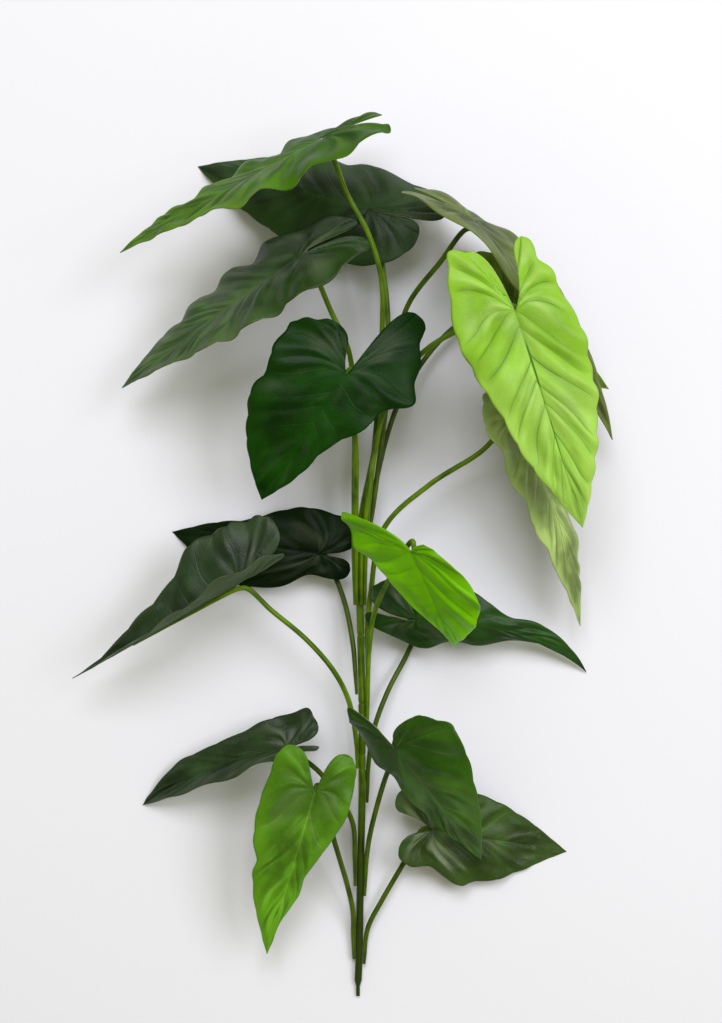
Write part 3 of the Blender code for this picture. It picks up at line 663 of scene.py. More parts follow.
# %% [markdown]
# ## Stalks, and the ribs they turn into
# Each stalk lies against the stem, bends away, swings up to its leaf and ends as the rib that holds
# the sheet from below. That is one continuous wire in the real thing, so it is one tube here, and it
# thins towards the end of the rib. Its route has few points: beside the stem, on the way, behind the
# joint and along the underside.

# %% Stalk routes
STALK_RADIUS = 0.0026
STALK_FOOT_RADIUS = 0.0014
STALK_END_RADIUS = STALK_RADIUS * 0.9    # where it leaves the stem, and where it meets its leaf
RIB_TIP_RADIUS = 0.0007
SEAT_GAP = 0.0003                        # left free between a stalk and what it lies against
NECK_BACK = 0.006                        # the stalk's last point before its leaf lies behind the
NECK_DEPTH = 0.009                       # joint and below it
RIB_PLACES = (0.004, 0.014)              # rib points: two at distances from the joint,
RIB_SHARES = (0.30, 0.62)                # and two at shares of the midrib
RIB_EXTRA = (0.0010, 0.0003, 0.0, 0.0)   # how much lower than needed each of them lies
STALK_STEPS = 16
STALKS = {
    "01": dict(side=25.0, foot=-0.045, leave=0.003, via=(
        (0.026, 0.050, 0.046), (0.033, 0.120, 0.050), (0.040, 0.228, 0.064),
        (0.039, 0.278, 0.078), (0.026, 0.321, 0.090), (0.006, 0.357, 0.098))),
    "02": dict(side=-125.0, foot=-0.045, leave=0.003, via=(
        (0.020, 0.050, 0.036), (0.034, 0.120, 0.037), (0.046, 0.230, 0.040),
        (0.040, 0.300, 0.034))),
    "03": dict(side=175.0, foot=-0.045, leave=0.003, via=(
        (0.012, 0.060, 0.045), (0.012, 0.159, 0.052), (0.007, 0.207, 0.060),
        (-0.010, 0.245, 0.068))),
    "04": dict(side=-25.0, foot=-0.045, leave=0.003, via=(
        (0.032, 0.060, 0.038), (0.050, 0.189, 0.046), (0.065, 0.252, 0.058),
        (0.097, 0.294, 0.078))),
    "05": dict(side=75.0, foot=-0.045, leave=0.003, via=(
        (0.026, 0.060, 0.056), (0.043, 0.149, 0.066), (0.077, 0.202, 0.084),
        (0.124, 0.228, 0.134))),
    "06": dict(side=125.0, foot=-0.045, leave=0.003, via=(
        (0.014, 0.050, 0.054), (0.014, 0.109, 0.076), (0.011, 0.148, 0.096))),
    "07": dict(side=0.0, foot=-0.110, leave=-0.075, via=(
        (0.0285, -0.035, 0.041), (0.042, 0.032, 0.050), (0.087, 0.075, 0.054),
        (0.137, 0.107, 0.062))),
    "08": dict(side=-75.0, foot=-0.045, leave=0.003, via=(
        (0.030, 0.060, 0.030), (0.058, 0.160, 0.024), (0.108, 0.230, 0.020))),
    "09": dict(side=150.0, foot=-0.210, leave=-0.185, via=(
        (0.007, -0.142, 0.037), (-0.008, -0.111, 0.046), (-0.035, -0.079, 0.056),
        (-0.070, -0.049, 0.066))),
    "10": dict(side=185.0, foot=-0.135, leave=-0.110, via=(
        (0.011, -0.085, 0.030), (0.003, -0.045, 0.022), (-0.008, -0.015, 0.014))),
    "11": dict(side=30.0, foot=-0.185, leave=-0.140, via=(
        (0.027, -0.090, 0.048), (0.032, -0.053, 0.062), (0.044, -0.023, 0.088))),
    "12": dict(side=-15.0, foot=-0.245, leave=-0.210, via=(
        (0.032, -0.171, 0.024), (0.046, -0.133, 0.018), (0.066, -0.095, 0.010),
        (0.073, -0.076, 0.018))),
    "13": dict(side=165.0, foot=-0.330, leave=-0.300, via=(
        (0.011, -0.267, 0.022), (0.001, -0.245, 0.028), (-0.025, -0.211, 0.030))),
    "14": dict(side=180.0, foot=-0.405, leave=-0.380, via=(
        (0.011, -0.357, 0.015), (0.006, -0.330, 0.028), (-0.006, -0.285, 0.052))),
    "15": dict(side=30.0, foot=-0.340, leave=-0.307, via=(
        (0.027, -0.282, 0.026), (0.034, -0.250, 0.038), (0.043, -0.218, 0.048),
        (0.048, -0.203, 0.062))),
    "16": dict(side=5.0, foot=-0.410, leave=-0.385, via=(
        (0.027, -0.370, 0.010), (0.040, -0.345, 0.012), (0.062, -0.307, 0.014))),
}


def beside_stem(y, side, radius):
    """Centre of a stalk that touches the stem at y: the stem's centre + both radii + the gap."""
    x = np.interp(y, stem_path[:, 1], stem_path[:, 0])
    z = np.interp(y, stem_path[:, 1], stem_path[:, 2])
    reach = stem_radius(y) + radius + SEAT_GAP
    turn = math.radians(side)
    return np.stack([x + reach * math.cos(turn), y, z + reach * math.sin(turn)], axis=-1)


def rib_route(plan):
    """Rib centres = midrib points moved down between the halves until the rib clears both.

    The halves meet at twice the angle wedge, so the way down is clearance / sin(wedge).
    """
    s, points, forward, across, up = midrib(plan)
    where = np.array(RIB_PLACES + tuple(share * s[-1] for share in RIB_SHARES))
    radii = np.interp(where, (0.0, where[-1]), (STALK_END_RADIUS, RIB_TIP_RADIUS))
    left = plan["fold"][0] + plan["fold_tip"][0] * where / s[-1]
    right = plan["fold"][1] + plan["fold_tip"][1] * where / s[-1]
    wedge = np.radians(np.minimum(90.0 + (left + right) / 2, 90.0))
    away = (radii + SHEET_THICKNESS / 2 + SEAT_GAP) / np.sin(wedge) + np.array(RIB_EXTRA)
    lean = np.radians((left - right) / 2 - 90.0)[:, None]
    down = np.cos(lean) * read_along(s, across, where) + np.sin(lean) * read_along(s, up, where)
    rib = read_along(s, points, where) + away[:, None] * down
    neck = points[0] - NECK_BACK * forward[0] + NECK_DEPTH * down[0]
    return np.vstack([neck, rib]), np.concatenate([[STALK_RADIUS], radii])


# %% Stalks
def stalk(number, plan, way):
    """Smooth tube through the foot beside the stem, the way, the neck and the rib."""
    foot_y = np.linspace(way["foot"], way["leave"], 3)
    foot_radii = np.linspace(STALK_FOOT_RADIUS, STALK_END_RADIUS, 3)
    foot = beside_stem(foot_y, way["side"], foot_radii)
    rib, rib_radii = rib_route(plan)
    knots = np.vstack([foot, way["via"], rib])
    radii = np.concatenate([foot_radii, [STALK_RADIUS] * len(way["via"]), rib_radii])
    route = smooth_line(knots, STALK_STEPS)
    place = np.arange(len(route)) / STALK_STEPS
    return tube("petiole_" + number, route, np.interp(place, np.arange(len(knots)), radii))


petioles = {number: stalk(number, LEAVES[number], way) for number, way in STALKS.items()}
print("faces of the stalks:", sum(len(thing.data.polygons) for thing in petioles.values()))

# %% [markdown]
# ## Shared effects for the finishes
# Four effects return in many finishes, so each is a node group that is built once. "Pressed veins"
# turns a point's vein phase and reach into masks for side veins and midrib, and for a painted
# highlight on the bank beside each vein. "Mottle" is a soft cloudy mask from noise, which breaks up
# flat colour. "Fine net" is the web of tiny veins that is pressed into such leaves. "Satin streaks"
# gives bands along the veins: pale streaks of painted sheen, and dark streaks of painted shade in
# the folds. Groups hand out only masks, and each finish decides what to do with them. One big
# material with everything inside would be harder to read, and each finish would need its own copy.

# %% Node helpers
def set_input(tree, socket, part):
    """A socket gets a link from another node's output, or a plain number or colour."""
    if isinstance(part, bpy.types.NodeSocket):
        tree.links.new(part, socket)
    else:
        socket.default_value = part


def socketed_group(name, inputs, outputs):
    """An empty node group with float inputs and outputs, its input node and its output node."""
    group = bpy.data.node_groups.new(name, "ShaderNodeTree")
    for label, kind, value in inputs:
        made = group.interface.new_socket(label, in_out="INPUT", socket_type=kind)
        if value is not None:
            made.default_value = value
    for label in outputs:
        group.interface.new_socket(label, in_out="OUTPUT", socket_type="NodeSocketFloat")
    return group, group.nodes.new("NodeGroupInput"), group.nodes.new("NodeGroupOutput")


def math_node(tree, operation, *parts):
    """One Math node; each of its inputs is another node's output or a plain number."""
    node = tree.nodes.new("ShaderNodeMath")
    node.operation = operation
    for socket, part in zip(node.inputs, parts):
        set_input(tree, socket, part)
    return node.outputs[0]


def fade(tree, value, start, end, low=0.0, high=1.0):
    """Map Range with smooth ends: low at start, high at end."""
    node = tree.nodes.new("ShaderNodeMapRange")
    node.interpolation_type = "SMOOTHSTEP"
    for label, part in (("Value", value), ("From Min", start), ("From Max", end),
                        ("To Min", low), ("To Max", high)):
        set_input(tree, node.inputs[label], part)
    return node.outputs["Result"]


# %% Pressed veins
VEIN_WIDTH = 0.05                # half a vein's width, as a share of the distance between two veins
VEIN_END_WIDTH = 0.35            # its width at the margin, as a share of that at the midrib
VEIN_SHADE_WIDTH = 0.22          # half the width of the soft shade round it
VEIN_END = (0.78, 0.98)          # the reach where the veins begin to fade, and where they are gone
RIB_EDGE = (0.035, 0.008)        # the reach where the midrib's mask begins, and where it is full
JOINT_EDGE = (4.5, -1.5)         # the phase where the joint's mask begins, and where it is full
BANK_RISE = (0.04, 0.16)         # how far past a vein its painted highlight rises, and how far past it falls
BANK_FALL = (0.55, 0.2)


def make_vein_group():
    """Side veins where the phase is near a whole number, thinner outwards; midrib near reach 0."""
    group, source, sink = socketed_group(
        "Pressed veins",
        [("Pattern", "NodeSocketVector", None), ("Vein Width", "NodeSocketFloat", VEIN_WIDTH),
         ("Shade Width", "NodeSocketFloat", VEIN_SHADE_WIDTH)],
        ["Line", "Shade", "Rib", "Reach", "Under", "Bank", "Joint"])
    parts = group.nodes.new("ShaderNodeSeparateXYZ")
    group.links.new(source.outputs["Pattern"], parts.inputs[0])
    phase, reach, under = parts.outputs
    nearest = math_node(group, "PINGPONG", phase, 0.5)
    past = math_node(group, "FRACT", phase)
    taper = fade(group, reach, 0.0, 1.0, 1.0, VEIN_END_WIDTH)
    thin = math_node(group, "MULTIPLY", source.outputs["Vein Width"], taper)
    inside = fade(group, reach, *VEIN_END, 1.0, 0.0)
    # the bank past each vein, where a painted highlight goes
    bank = math_node(group, "MULTIPLY", fade(group, past, *BANK_RISE), fade(group, past, *BANK_FALL))
    for label, mask in (("Line", fade(group, nearest, thin, 0.0)), ("Bank", bank),
                        ("Shade", fade(group, nearest, source.outputs["Shade Width"], 0.0))):
        group.links.new(math_node(group, "MULTIPLY", mask, inside), sink.inputs[label])
    for label, mask in (("Rib", fade(group, reach, *RIB_EDGE)), ("Reach", reach),
                        ("Joint", fade(group, phase, *JOINT_EDGE)), ("Under", under)):
        group.links.new(mask, sink.inputs[label])
    return group


vein_group = make_vein_group()
print("nodes in the vein group:", len(vein_group.nodes))

# %% Mottle and fine net
MOTTLE_SCALE = 24.0
MOTTLE_KINDS = (("Clouds", 1.0, 3.0), ("Grain", 14.0, 2.0))    # output, times the scale, octaves
MOTTLE_ENDS = (0.3, 0.7)         # noise that counts as none and as full
NET_SCALE = 260.0
NET_WIDTH = 0.09                 # half a line's width, as a share of a cell


def make_mottle_group():
    """Soft clouds and fine grain: noise on the object's own coordinates, stretched to 0..1."""
    group, source, sink = socketed_group(
        "Mottle", [("Vector", "NodeSocketVector", None), ("Scale", "NodeSocketFloat", MOTTLE_SCALE)],
        ["Clouds", "Grain"])
    for label, factor, detail in MOTTLE_KINDS:
        noise = group.nodes.new("ShaderNodeTexNoise")
        noise.inputs["Detail"].default_value = detail
        group.links.new(source.outputs["Vector"], noise.inputs["Vector"])
        scale = math_node(group, "MULTIPLY", source.outputs["Scale"], factor)
        group.links.new(scale, noise.inputs["Scale"])
        group.links.new(fade(group, noise.outputs["Fac"], *MOTTLE_ENDS), sink.inputs[label])
    return group


def make_net_group():
    """A web of tiny veins: the borders between Voronoi cells."""
    group, source, sink = socketed_group(
        "Fine net", [("Vector", "NodeSocketVector", None), ("Scale", "NodeSocketFloat", NET_SCALE)],
        ["Web"])
    cells = group.nodes.new("ShaderNodeTexVoronoi")
    cells.feature = "DISTANCE_TO_EDGE"
    for label in ("Vector", "Scale"):
        group.links.new(source.outputs[label], cells.inputs[label])
    group.links.new(fade(group, cells.outputs["Distance"], NET_WIDTH, 0.0), sink.inputs["Web"])
    return group


mottle_group, net_group = make_mottle_group(), make_net_group()
print("shared effects so far:", [group.name for group in bpy.data.node_groups])

# %% Streaks of painted sheen and painted shade
# pale streaks of painted sheen, dark streaks of painted shade in folds: output, pace, none, full
STREAK_KINDS = (("Streaks", 1.0, 0.46, 0.70), ("Folds", 2.2, 0.62, 0.40))
STREAK_REACH = 1.3               # how fast a streak changes from the midrib to the margin
STREAK_DETAIL = 1.5
STREAK_START = (0.0, 0.12)       # the reach where streaks set in, and where they are full
STREAK_END = (1.0, 0.6)
LOBE_SHEEN = (2.6, 0.6, 0.2, 1.0)    # phase from and to, share of pale streaks there


def make_streak_group():
    """Streaks that run with the veins: noise of (phase, reach) that changes slowly along reach.

    A kind gives the output, how fast it changes from vein to vein, and the noise that counts as
    none and as full. The pale streaks are painted sheen, and the dark ones are painted shade in the
    folds.
    """
    group, source, sink = socketed_group(
        "Sheen and shade streaks",
        [("Pattern", "NodeSocketVector", None), ("Seed", "NodeSocketFloat", 0.0)],
        ["Streaks", "Folds"])
    parts = group.nodes.new("ShaderNodeSeparateXYZ")
    group.links.new(source.outputs["Pattern"], parts.inputs[0])
    phase, reach, under = parts.outputs
    start, end = fade(group, reach, *STREAK_START), fade(group, reach, *STREAK_END)
    ends = math_node(group, "MULTIPLY", start, end)
    forward = math_node(group, "MULTIPLY", ends, fade(group, phase, *LOBE_SHEEN))
    for (label, pace, none, full), limit in zip(STREAK_KINDS, (forward, ends)):
        place = group.nodes.new("ShaderNodeCombineXYZ")
        group.links.new(math_node(group, "MULTIPLY", phase, pace), place.inputs["X"])
        group.links.new(math_node(group, "MULTIPLY", reach, STREAK_REACH), place.inputs["Y"])
        group.links.new(math_node(group, "ADD", source.outputs["Seed"], pace), place.inputs["Z"])
        noise = group.nodes.new("ShaderNodeTexNoise")
        noise.inputs["Scale"].default_value = 1.0
        noise.inputs["Detail"].default_value = STREAK_DETAIL
        group.links.new(place.outputs[0], noise.inputs["Vector"])
        mask = fade(group, noise.outputs["Fac"], none, full)
        group.links.new(math_node(group, "MULTIPLY", mask, limit), sink.inputs[label])
    return group


streak_group = make_streak_group()
print("all shared effects:", [group.name for group in bpy.data.node_groups])

# %% [markdown]
# ## The leaf finish
# The leaves are printed and lacquered cloth. Each has one main green, a vein tone along the veins,
# a fresher tone at the margin, and a pale dull underside. On top of these, painted shade darkens the
# green in the folds, in the lobes and round the joint, a painted highlight lies on the bank beside
# each vein, and painted sheen lies in pale streaks and towards the point. The lacquer is satin: it
# shows broad soft grey lights, stronger on the dark leaves, never sharp ones.
# An image could hold all that, but it would fit one leaf only. Layers of masks fit every leaf, so one
# function makes all of the leaf finishes from those few tones.

# %% Colours, groups and bumps in a finish
def tone(red, green, blue):
    """A display colour, 0 to 255 per channel, as the linear colour that a shader needs."""
    c = np.array([red, green, blue]) / 255.0
    linear = np.where(c <= 0.04045, c / 12.92, ((c + 0.055) / 1.055) ** 2.4)
    return (*linear.tolist(), 1.0)


def scaled(colour, factor):
    """The colour with each channel times the factor, and no more than 1."""
    return tuple(min(1.0, channel * factor) for channel in colour[:3]) + (1.0,)


def blend_colours(tree, mask, first, second):
    """Mix Color: first where the mask is 0, second where it is 1."""
    node = tree.nodes.new("ShaderNodeMix")
    node.data_type = "RGBA"
    tree.links.new(mask, node.inputs["Factor"])
    for label, colour in (("A", first), ("B", second)):
        socket = next(s for s in node.inputs if s.name == label and s.type == "RGBA")
        set_input(tree, socket, colour)
    return next(s for s in node.outputs if s.type == "RGBA")


def place_group(tree, group, **values):
    """A group node in a material, with plain numbers or links for its inputs."""
    node = tree.nodes.new("ShaderNodeGroup")
    node.node_tree = group
    for label, value in values.items():
        set_input(tree, node.inputs[label], value)
    return node.outputs


def new_finish(name):
    """A material, its nodes, its shader, the piece's pattern vector and its Object coordinates."""
    material = bpy.data.materials.new(name)
    material.use_nodes = True
    tree = material.node_tree
    pattern = tree.nodes.new("ShaderNodeAttribute")
    pattern.attribute_name = "pattern"
    spot = tree.nodes.new("ShaderNodeTexCoord").outputs["Object"]
    return material, tree, tree.nodes["Principled BSDF"], pattern.outputs["Vector"], spot


def press(tree, shader, height, strength, distance):
    """A Bump node turns the height into the shader's normal."""
    bump = tree.nodes.new("ShaderNodeBump")
    bump.inputs["Strength"].default_value = strength
    bump.inputs["Distance"].default_value = distance
    tree.links.new(height, bump.inputs["Height"])
    tree.links.new(bump.outputs["Normal"], shader.inputs["Normal"])


print("a leaf green as a shader colour:", [round(channel, 3) for channel in tone(54, 100, 4)])

# %% Leaf finish
# the painted sheen's colour, where a leaf gives no pale tone of its own
SHEEN_TONE = (0.42, 0.50, 0.30, 1.0)
GREY_UNDER = tone(112, 124, 84)
DEEP_SHARE = 0.45                # brightness of painted shade in folds, lobes and round the joint
MARGIN_LAYER = (0.45, 1.0, 0.0, 0.75)    # the reach from and to, and the margin colour's share there
TIP_SHEEN_EDGE = (0.6, 0.0)           # the joint's mask where the painted sheen begins, and where it is full
VEIN_BREAKS = (0.1, 0.9, 0.35, 1.2)      # clouds from and to, and how strong they leave the veins
SHADE_SHARE = 0.4                # the soft shade beside a vein, as a share of its line
RIB_SHARE = 1.6                  # and the midrib's line
WEB_SHARE = 0.05
LEAF_ROUGHNESS = 0.38
ROUGHNESS_SPAN = 0.10
UNDER_ROUGHNESS = 0.6
WEB_HEIGHT = -0.2                # pressed in by this share of the bump's distance
LINE_HEIGHT = -1.0
GRAIN_HEIGHT = 0.25
LEAF_BUMP_STRENGTH = 0.6
LEAF_BUMP_DISTANCE = 0.0004


def leaf_finish(name, main, vein, margin, under=GREY_UNDER, shine=0.22, lines=0.15, bank=0.10,
                cloud=0.60, sheen=0.26, folds=0.70, seed=0.0, pale=SHEEN_TONE, rib=None,
                joint_shade=0.3, tip_sheen=0.0):
    """Satin leaf: main colour, mottled; vein colour in the veins; margin colour outside; underside.

    sheen is the share of pale streaks, which are painted sheen, and folds the share of dark ones,
    which are painted shade in the folds; both run with the veins. dusk is how much painted shade
    darkens the colour round the joint and in the lobes, and worn is how much painted sheen pales it
    towards the point. bank is the share of the painted highlight beside each vein. Each layer is a
    mask and the colour that it brings.
    """
    material, tree, shader, pattern, spot = new_finish(name)
    veins = place_group(tree, vein_group, Pattern=pattern)
    mottle = place_group(tree, mottle_group, Vector=spot)
    web = place_group(tree, net_group, Vector=spot)["Web"]
    streaks = place_group(tree, streak_group, Pattern=pattern, Seed=seed)
    light, dark, shade_colour = (scaled(main, share) for share in (1 + cloud, 1 - cloud, DEEP_SHARE))
    layers = [
        (fade(tree, veins["Reach"], *MARGIN_LAYER), margin),
        # painted shade round the joint and in the lobes
        (math_node(tree, "MULTIPLY", veins["Joint"], joint_shade), shade_colour),
        # painted sheen that pales the colour towards the point
        (fade(tree, veins["Joint"], *TIP_SHEEN_EDGE, 0.0, tip_sheen), pale),
        # dark streaks of painted shade in the folds, then pale streaks of painted sheen
        (math_node(tree, "MULTIPLY", streaks["Folds"], folds), shade_colour),
        (math_node(tree, "MULTIPLY", streaks["Streaks"], sheen), pale),
    ]
    broken = fade(tree, mottle["Clouds"], *VEIN_BREAKS)
    # the bank's mask brings a painted highlight: the main colour made lighter
    for label, share, tint in (("Shade", lines * SHADE_SHARE, vein), ("Line", lines, vein),
                               ("Bank", bank, light), ("Rib", lines * RIB_SHARE, rib or vein)):
        amount = math_node(tree, "MULTIPLY", veins[label], share)
        layers.append((math_node(tree, "MULTIPLY", amount, broken), tint))
    layers += [(math_node(tree, "MULTIPLY", web, WEB_SHARE), vein), (veins["Under"], under)]
    colour = blend_colours(tree, mottle["Clouds"], dark, light)
    for mask, tint in layers:
        colour = blend_colours(tree, mask, colour, tint)
    tree.links.new(colour, shader.inputs["Base Color"])
    rough = math_node(tree, "MULTIPLY_ADD", mottle["Clouds"], ROUGHNESS_SPAN,
                      LEAF_ROUGHNESS - ROUGHNESS_SPAN / 2)
    dull = math_node(tree, "MULTIPLY", veins["Under"], UNDER_ROUGHNESS)
    tree.links.new(math_node(tree, "MAXIMUM", rough, dull), shader.inputs["Roughness"])
    shader.inputs["Specular IOR Level"].default_value = shine
    grain = math_node(tree, "MULTIPLY", mottle["Grain"], GRAIN_HEIGHT)
    height = math_node(tree, "MULTIPLY_ADD", web, WEB_HEIGHT,
                       math_node(tree, "MULTIPLY_ADD", veins["Line"], LINE_HEIGHT, grain))
    press(tree, shader, height, LEAF_BUMP_STRENGTH, LEAF_BUMP_DISTANCE)
    return material


# %% Tones of the sixteen leaves
LEAF_TONES = {
    "01": dict(main=tone(54, 100, 4), vein=tone(110, 134, 70), margin=tone(76, 124, 12),
               sheen=0.18, shine=0.05, joint_shade=0.5, tip_sheen=0.16, pale=tone(150, 178, 84)),
    "02": dict(main=tone(34, 60, 20), vein=tone(74, 96, 60), margin=tone(42, 74, 24),
               sheen=0.06, lines=0.06, folds=0.3),
    "03": dict(main=tone(44, 78, 22), vein=tone(96, 112, 76), margin=tone(54, 80, 30),
               sheen=0.14, shine=0.16, joint_shade=0.7, tip_sheen=0.10),
    "04": dict(main=tone(92, 108, 42), vein=tone(54, 66, 32), margin=tone(104, 120, 52),
               shine=0.10, lines=0.3, joint_shade=0.0),
    "05": dict(main=tone(136, 188, 40), vein=tone(66, 120, 8), margin=tone(148, 198, 54),
               sheen=0.55, folds=0.30, lines=0.60, bank=0.15, pale=tone(200, 232, 132),
               joint_shade=0.10, tip_sheen=0.25, rib=tone(60, 112, 4), cloud=0.20),
    "06": dict(main=tone(14, 56, 0), vein=tone(70, 90, 56), margin=tone(16, 58, 0),
               sheen=0.10, lines=0.05, folds=0.4, shine=0.10, joint_shade=0.6, rib=tone(6, 24, 0)),
    "07": dict(main=tone(158, 184, 100), vein=tone(72, 92, 44), margin=tone(164, 190, 108),
               shine=0.12, lines=0.3, joint_shade=0.1),
    "08": dict(main=tone(106, 138, 30), vein=tone(120, 140, 76), margin=tone(110, 140, 40)),
    "09": dict(main=tone(38, 60, 30), vein=tone(76, 92, 66), margin=tone(46, 68, 34),
               under=tone(64, 86, 46), sheen=0.10, lines=0.05, folds=0.3),
    "10": dict(main=tone(10, 30, 4), vein=tone(74, 88, 62), margin=tone(10, 30, 4),
               sheen=0.06, lines=0.05, folds=0.3, shine=0.06),
    "11": dict(main=tone(124, 204, 0), vein=tone(70, 130, 4), margin=tone(136, 216, 0),
               folds=0.15, sheen=0.14, shine=0.10, pale=tone(150, 200, 60), joint_shade=0.7, cloud=0.3),
    "12": dict(main=tone(30, 70, 8), vein=tone(88, 104, 62), margin=tone(30, 70, 6),
               sheen=0.14, lines=0.08),
    "13": dict(main=tone(34, 56, 22), vein=tone(104, 118, 88), margin=tone(38, 58, 26),
               sheen=0.14, lines=0.06, folds=0.3),
    "14": dict(main=tone(86, 140, 18), vein=tone(150, 180, 90), margin=tone(90, 146, 12),
               sheen=0.06, lines=0.2, shine=0.15, joint_shade=0.5),
    "15": dict(main=tone(52, 98, 6), vein=tone(120, 144, 84), margin=tone(56, 102, 10),
               sheen=0.16, shine=0.14, joint_shade=0.7, tip_sheen=0.12, pale=tone(140, 168, 96)),
    "16": dict(main=tone(52, 80, 18), vein=tone(126, 140, 98), margin=tone(50, 76, 18),
               sheen=0.32, lines=0.10, joint_shade=0.0),
}
leaf_finishes = {number: leaf_finish("leaf_finish_" + number, seed=float(number), **tones)
                 for number, tones in LEAF_TONES.items()}
print("leaf finishes:", len(leaf_finishes))

# %% [markdown]
# ## The stalk and stem finishes
# Stalks and stem are dipped in soft green plastic: glossier than the leaves, olive, with faint streaks
# along their length and darker low down. The streaks follow the tube, so they read the tube's own
# pattern vector: its first two numbers go once round, its third is the length in metres. Streaks from
# Object coordinates would be simpler, but they would cut across every bend.

# %% Stalk finish
STALK_SHINE = 0.18
STREAK_STRETCH = (1.0, 1.0, 14.0)    # noise runs slowly along the tube and quickly round it
STREAK_SCALE = 2.2
STREAK_OCTAVES = 4.0
STREAK_ENDS = (0.35, 0.68)       # noise that counts as dark and as the main colour
STALK_MOTTLE_SCALE = 45.0
PATCH_SHARE = 0.5
FOOT_SHARE = 0.9
STALK_BUMP_STRENGTH = 0.3
STALK_BUMP_DISTANCE = 0.0003


def stalk_finish(name, main, dark, pale, roughness, foot=None, foot_ends=(0.0, 0.0)):
    """Glossy plastic with streaks: noise that is stretched along the tube, plus cloudy patches.

    A foot colour fades out between the two distances along the tube.
    """
    material, tree, shader, pattern, spot = new_finish(name)
    stretch = tree.nodes.new("ShaderNodeMapping")
    stretch.inputs["Scale"].default_value = STREAK_STRETCH
    tree.links.new(pattern, stretch.inputs["Vector"])
    streak = tree.nodes.new("ShaderNodeTexNoise")
    streak.inputs["Scale"].default_value = STREAK_SCALE
    streak.inputs["Detail"].default_value = STREAK_OCTAVES
    tree.links.new(stretch.outputs["Vector"], streak.inputs["Vector"])
    clouds = place_group(tree, mottle_group, Vector=spot, Scale=STALK_MOTTLE_SCALE)["Clouds"]
    colour = blend_colours(tree, fade(tree, streak.outputs["Fac"], *STREAK_ENDS), dark, main)
    colour = blend_colours(tree, math_node(tree, "MULTIPLY", clouds, PATCH_SHARE), colour, pale)
    if foot:
        parts = tree.nodes.new("ShaderNodeSeparateXYZ")
        tree.links.new(pattern, parts.inputs[0])
        share = fade(tree, parts.outputs["Z"], *foot_ends, FOOT_SHARE, 0.0)
        colour = blend_colours(tree, share, colour, foot)
    tree.links.new(colour, shader.inputs["Base Color"])
    shader.inputs["Roughness"].default_value = roughness
    shader.inputs["Specular IOR Level"].default_value = STALK_SHINE
    press(tree, shader, streak.outputs["Fac"], STALK_BUMP_STRENGTH, STALK_BUMP_DISTANCE)
    return material


bright_stalk = stalk_finish("bright_stalk", tone(88, 122, 0), tone(44, 68, 0), tone(116, 152, 8), 0.36)
dark_stalk = stalk_finish("dark_stalk", tone(64, 90, 2), tone(36, 50, 2), tone(90, 114, 12), 0.4)
stem_finish = stalk_finish("stem_green", tone(80, 112, 2), tone(42, 62, 0), tone(104, 136, 12), 0.42,
                           foot=tone(34, 48, 2), foot_ends=(0.10, 0.24))
print("stalk and stem finishes:", bright_stalk.name, dark_stalk.name, stem_finish.name)

# %% [markdown]
# ## Hanging the pieces on the frame
# Each new piece stands for the imported node that it was worked out from, which is hidden, rides on
# the one body, and gets its finish in a material slot of its own. Nothing on the spray moves by
# itself, so there is no other body to choose from.

# %% Ride, replace, slot
# stalks that get the darker finish
DARK_STALKS = ("04", "08", "10", "12", "13", "14", "15", "16")


def hang(piece, node, material):
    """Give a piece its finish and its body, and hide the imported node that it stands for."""
    piece.data.materials.append(material)
    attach(piece, "root")
    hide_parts(node)


hang(stem, "main_stem", stem_finish)
for number in LEAVES:
    finish = dark_stalk if number in DARK_STALKS else bright_stalk
    hang(petioles[number], "stalk_" + number, finish)
    hang(blades[number], "leaf_" + number, leaf_finishes[number])
print("pieces hung:", 1 + len(petioles) + len(blades))

# %% [markdown]
# ## Floor, light and camera
# The spray lies on a pale matt surface under soft light that comes from beyond its head, so its
# shadows fall softly towards its foot. A wide lamp gives the direction, a second one fills from the
# right, and a world with a slight yellow-green tint lights the shadows, as the leaves around do in a
# real room. The camera itself sees that world as a plain pale backdrop. The lamps are large and stand
# well away, so the floor is evenly lit. Small hard lamps would be simpler to place, but they would
# draw sharp shadows. The camera looks straight down from two and a half metres, with the lens that
# makes a millimetre on the object about a pixel wide.

# %% Floor
FLOOR_SIZE = 8.0
FLOOR_COLOUR = (0.84, 0.84, 0.89, 1.0)
FLOOR_ROUGHNESS = 0.9
corners = np.array([(-1, -1, 0), (1, -1, 0), (1, 1, 0), (-1, 1, 0)]) * FLOOR_SIZE / 2
floor = put_mesh("floor", corners.astype(float), [[0, 1, 2, 3]], None, [False])
floor_finish = bpy.data.materials.new("pale_surface")
floor_finish.use_nodes = True
floor_shader = floor_finish.node_tree.nodes["Principled BSDF"]
floor_shader.inputs["Base Color"].default_value = FLOOR_COLOUR
floor_shader.inputs["Roughness"].default_value = FLOOR_ROUGHNESS
floor.data.materials.append(floor_finish)
print("floor:", FLOOR_SIZE, "m wide")

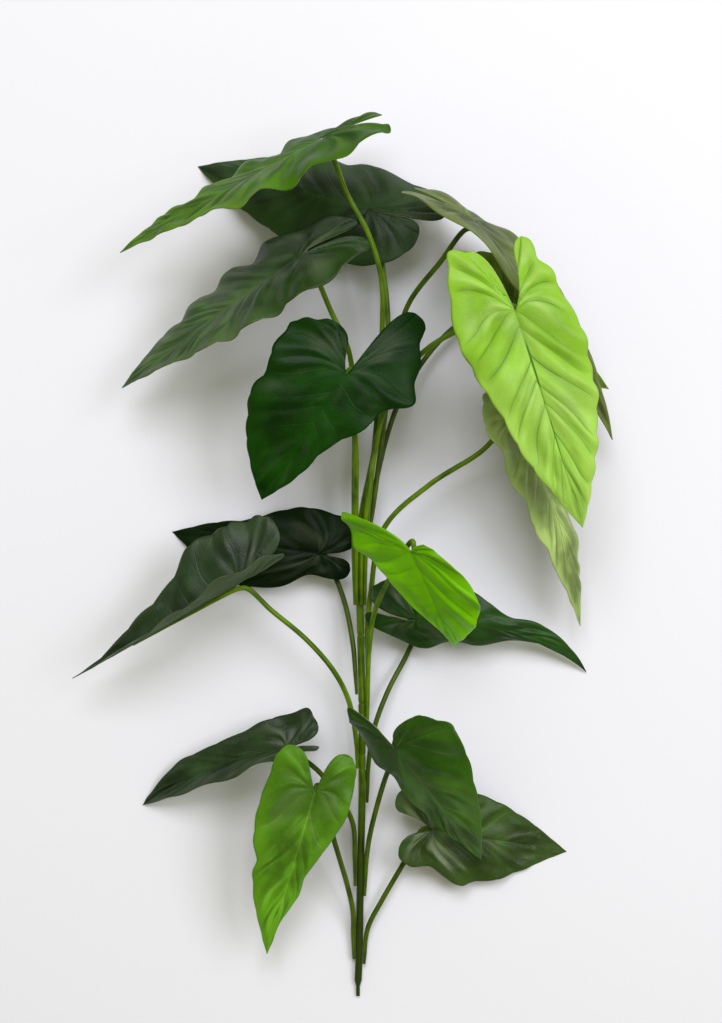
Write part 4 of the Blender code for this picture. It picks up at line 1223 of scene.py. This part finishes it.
# %% Light
ROOM_LIGHT = 0.38
ROOM_TINT = (1.0, 1.0, 0.70, 1.0)
BACKDROP_LIGHT = 0.95
BACKDROP = (0.90, 0.90, 0.92, 1.0)
LAMP_SPREAD = 2.6
LAMP_AIM = (0.04, 0.08, 0.0)
LAMP_COLOUR = (0.96, 0.95, 1.05)
scene = bpy.context.scene
scene.view_settings.view_transform = "Standard"
world = bpy.data.worlds.new("studio")
world.use_nodes = True
room = world.node_tree.nodes["Background"]
seen = world.node_tree.nodes.new("ShaderNodeLightPath").outputs["Is Camera Ray"]
room_colour = blend_colours(world.node_tree, seen, ROOM_TINT, BACKDROP)
world.node_tree.links.new(room_colour, room.inputs["Color"])
room_strength = fade(world.node_tree, seen, 0.0, 1.0, ROOM_LIGHT, BACKDROP_LIGHT)
world.node_tree.links.new(room_strength, room.inputs["Strength"])
scene.world = world


def softbox(name, place, size, power):
    """A square area lamp at a place, turned to face the middle of the spray."""
    data = bpy.data.lights.new(name, "AREA")
    data.size = size
    data.energy = power
    data.color = LAMP_COLOUR
    data.spread = LAMP_SPREAD
    lamp = bpy.data.objects.new(name, data)
    scene.collection.objects.link(lamp)
    lamp.location = place
    lamp.rotation_euler = (Vector(LAMP_AIM) - Vector(place)).to_track_quat("-Z", "Y").to_euler()


softbox("head_key", place=(-0.14, 1.96, 3.5), size=1.8, power=52.0)
softbox("right_fill", place=(2.24, 0.84, 3.2), size=1.95, power=50.0)

# %% Camera
CAMERA_PLACE = (0.019, 0.0485, 2.5)
SHARP_HEIGHT = 0.040             # height above the floor at which a pixel is a millimetre
PIXELS_PER_METRE = 1000
PHOTO_HEIGHT = 1023
SENSOR = 36.0
camera_data = bpy.data.cameras.new("camera")
camera_data.sensor_width = SENSOR
camera_data.lens = SENSOR * (CAMERA_PLACE[2] - SHARP_HEIGHT) * PIXELS_PER_METRE / PHOTO_HEIGHT
camera = bpy.data.objects.new("camera", camera_data)
camera.location = CAMERA_PLACE
scene.collection.objects.link(camera)
scene.camera = camera
print("lens:", round(camera_data.lens, 2), "mm")
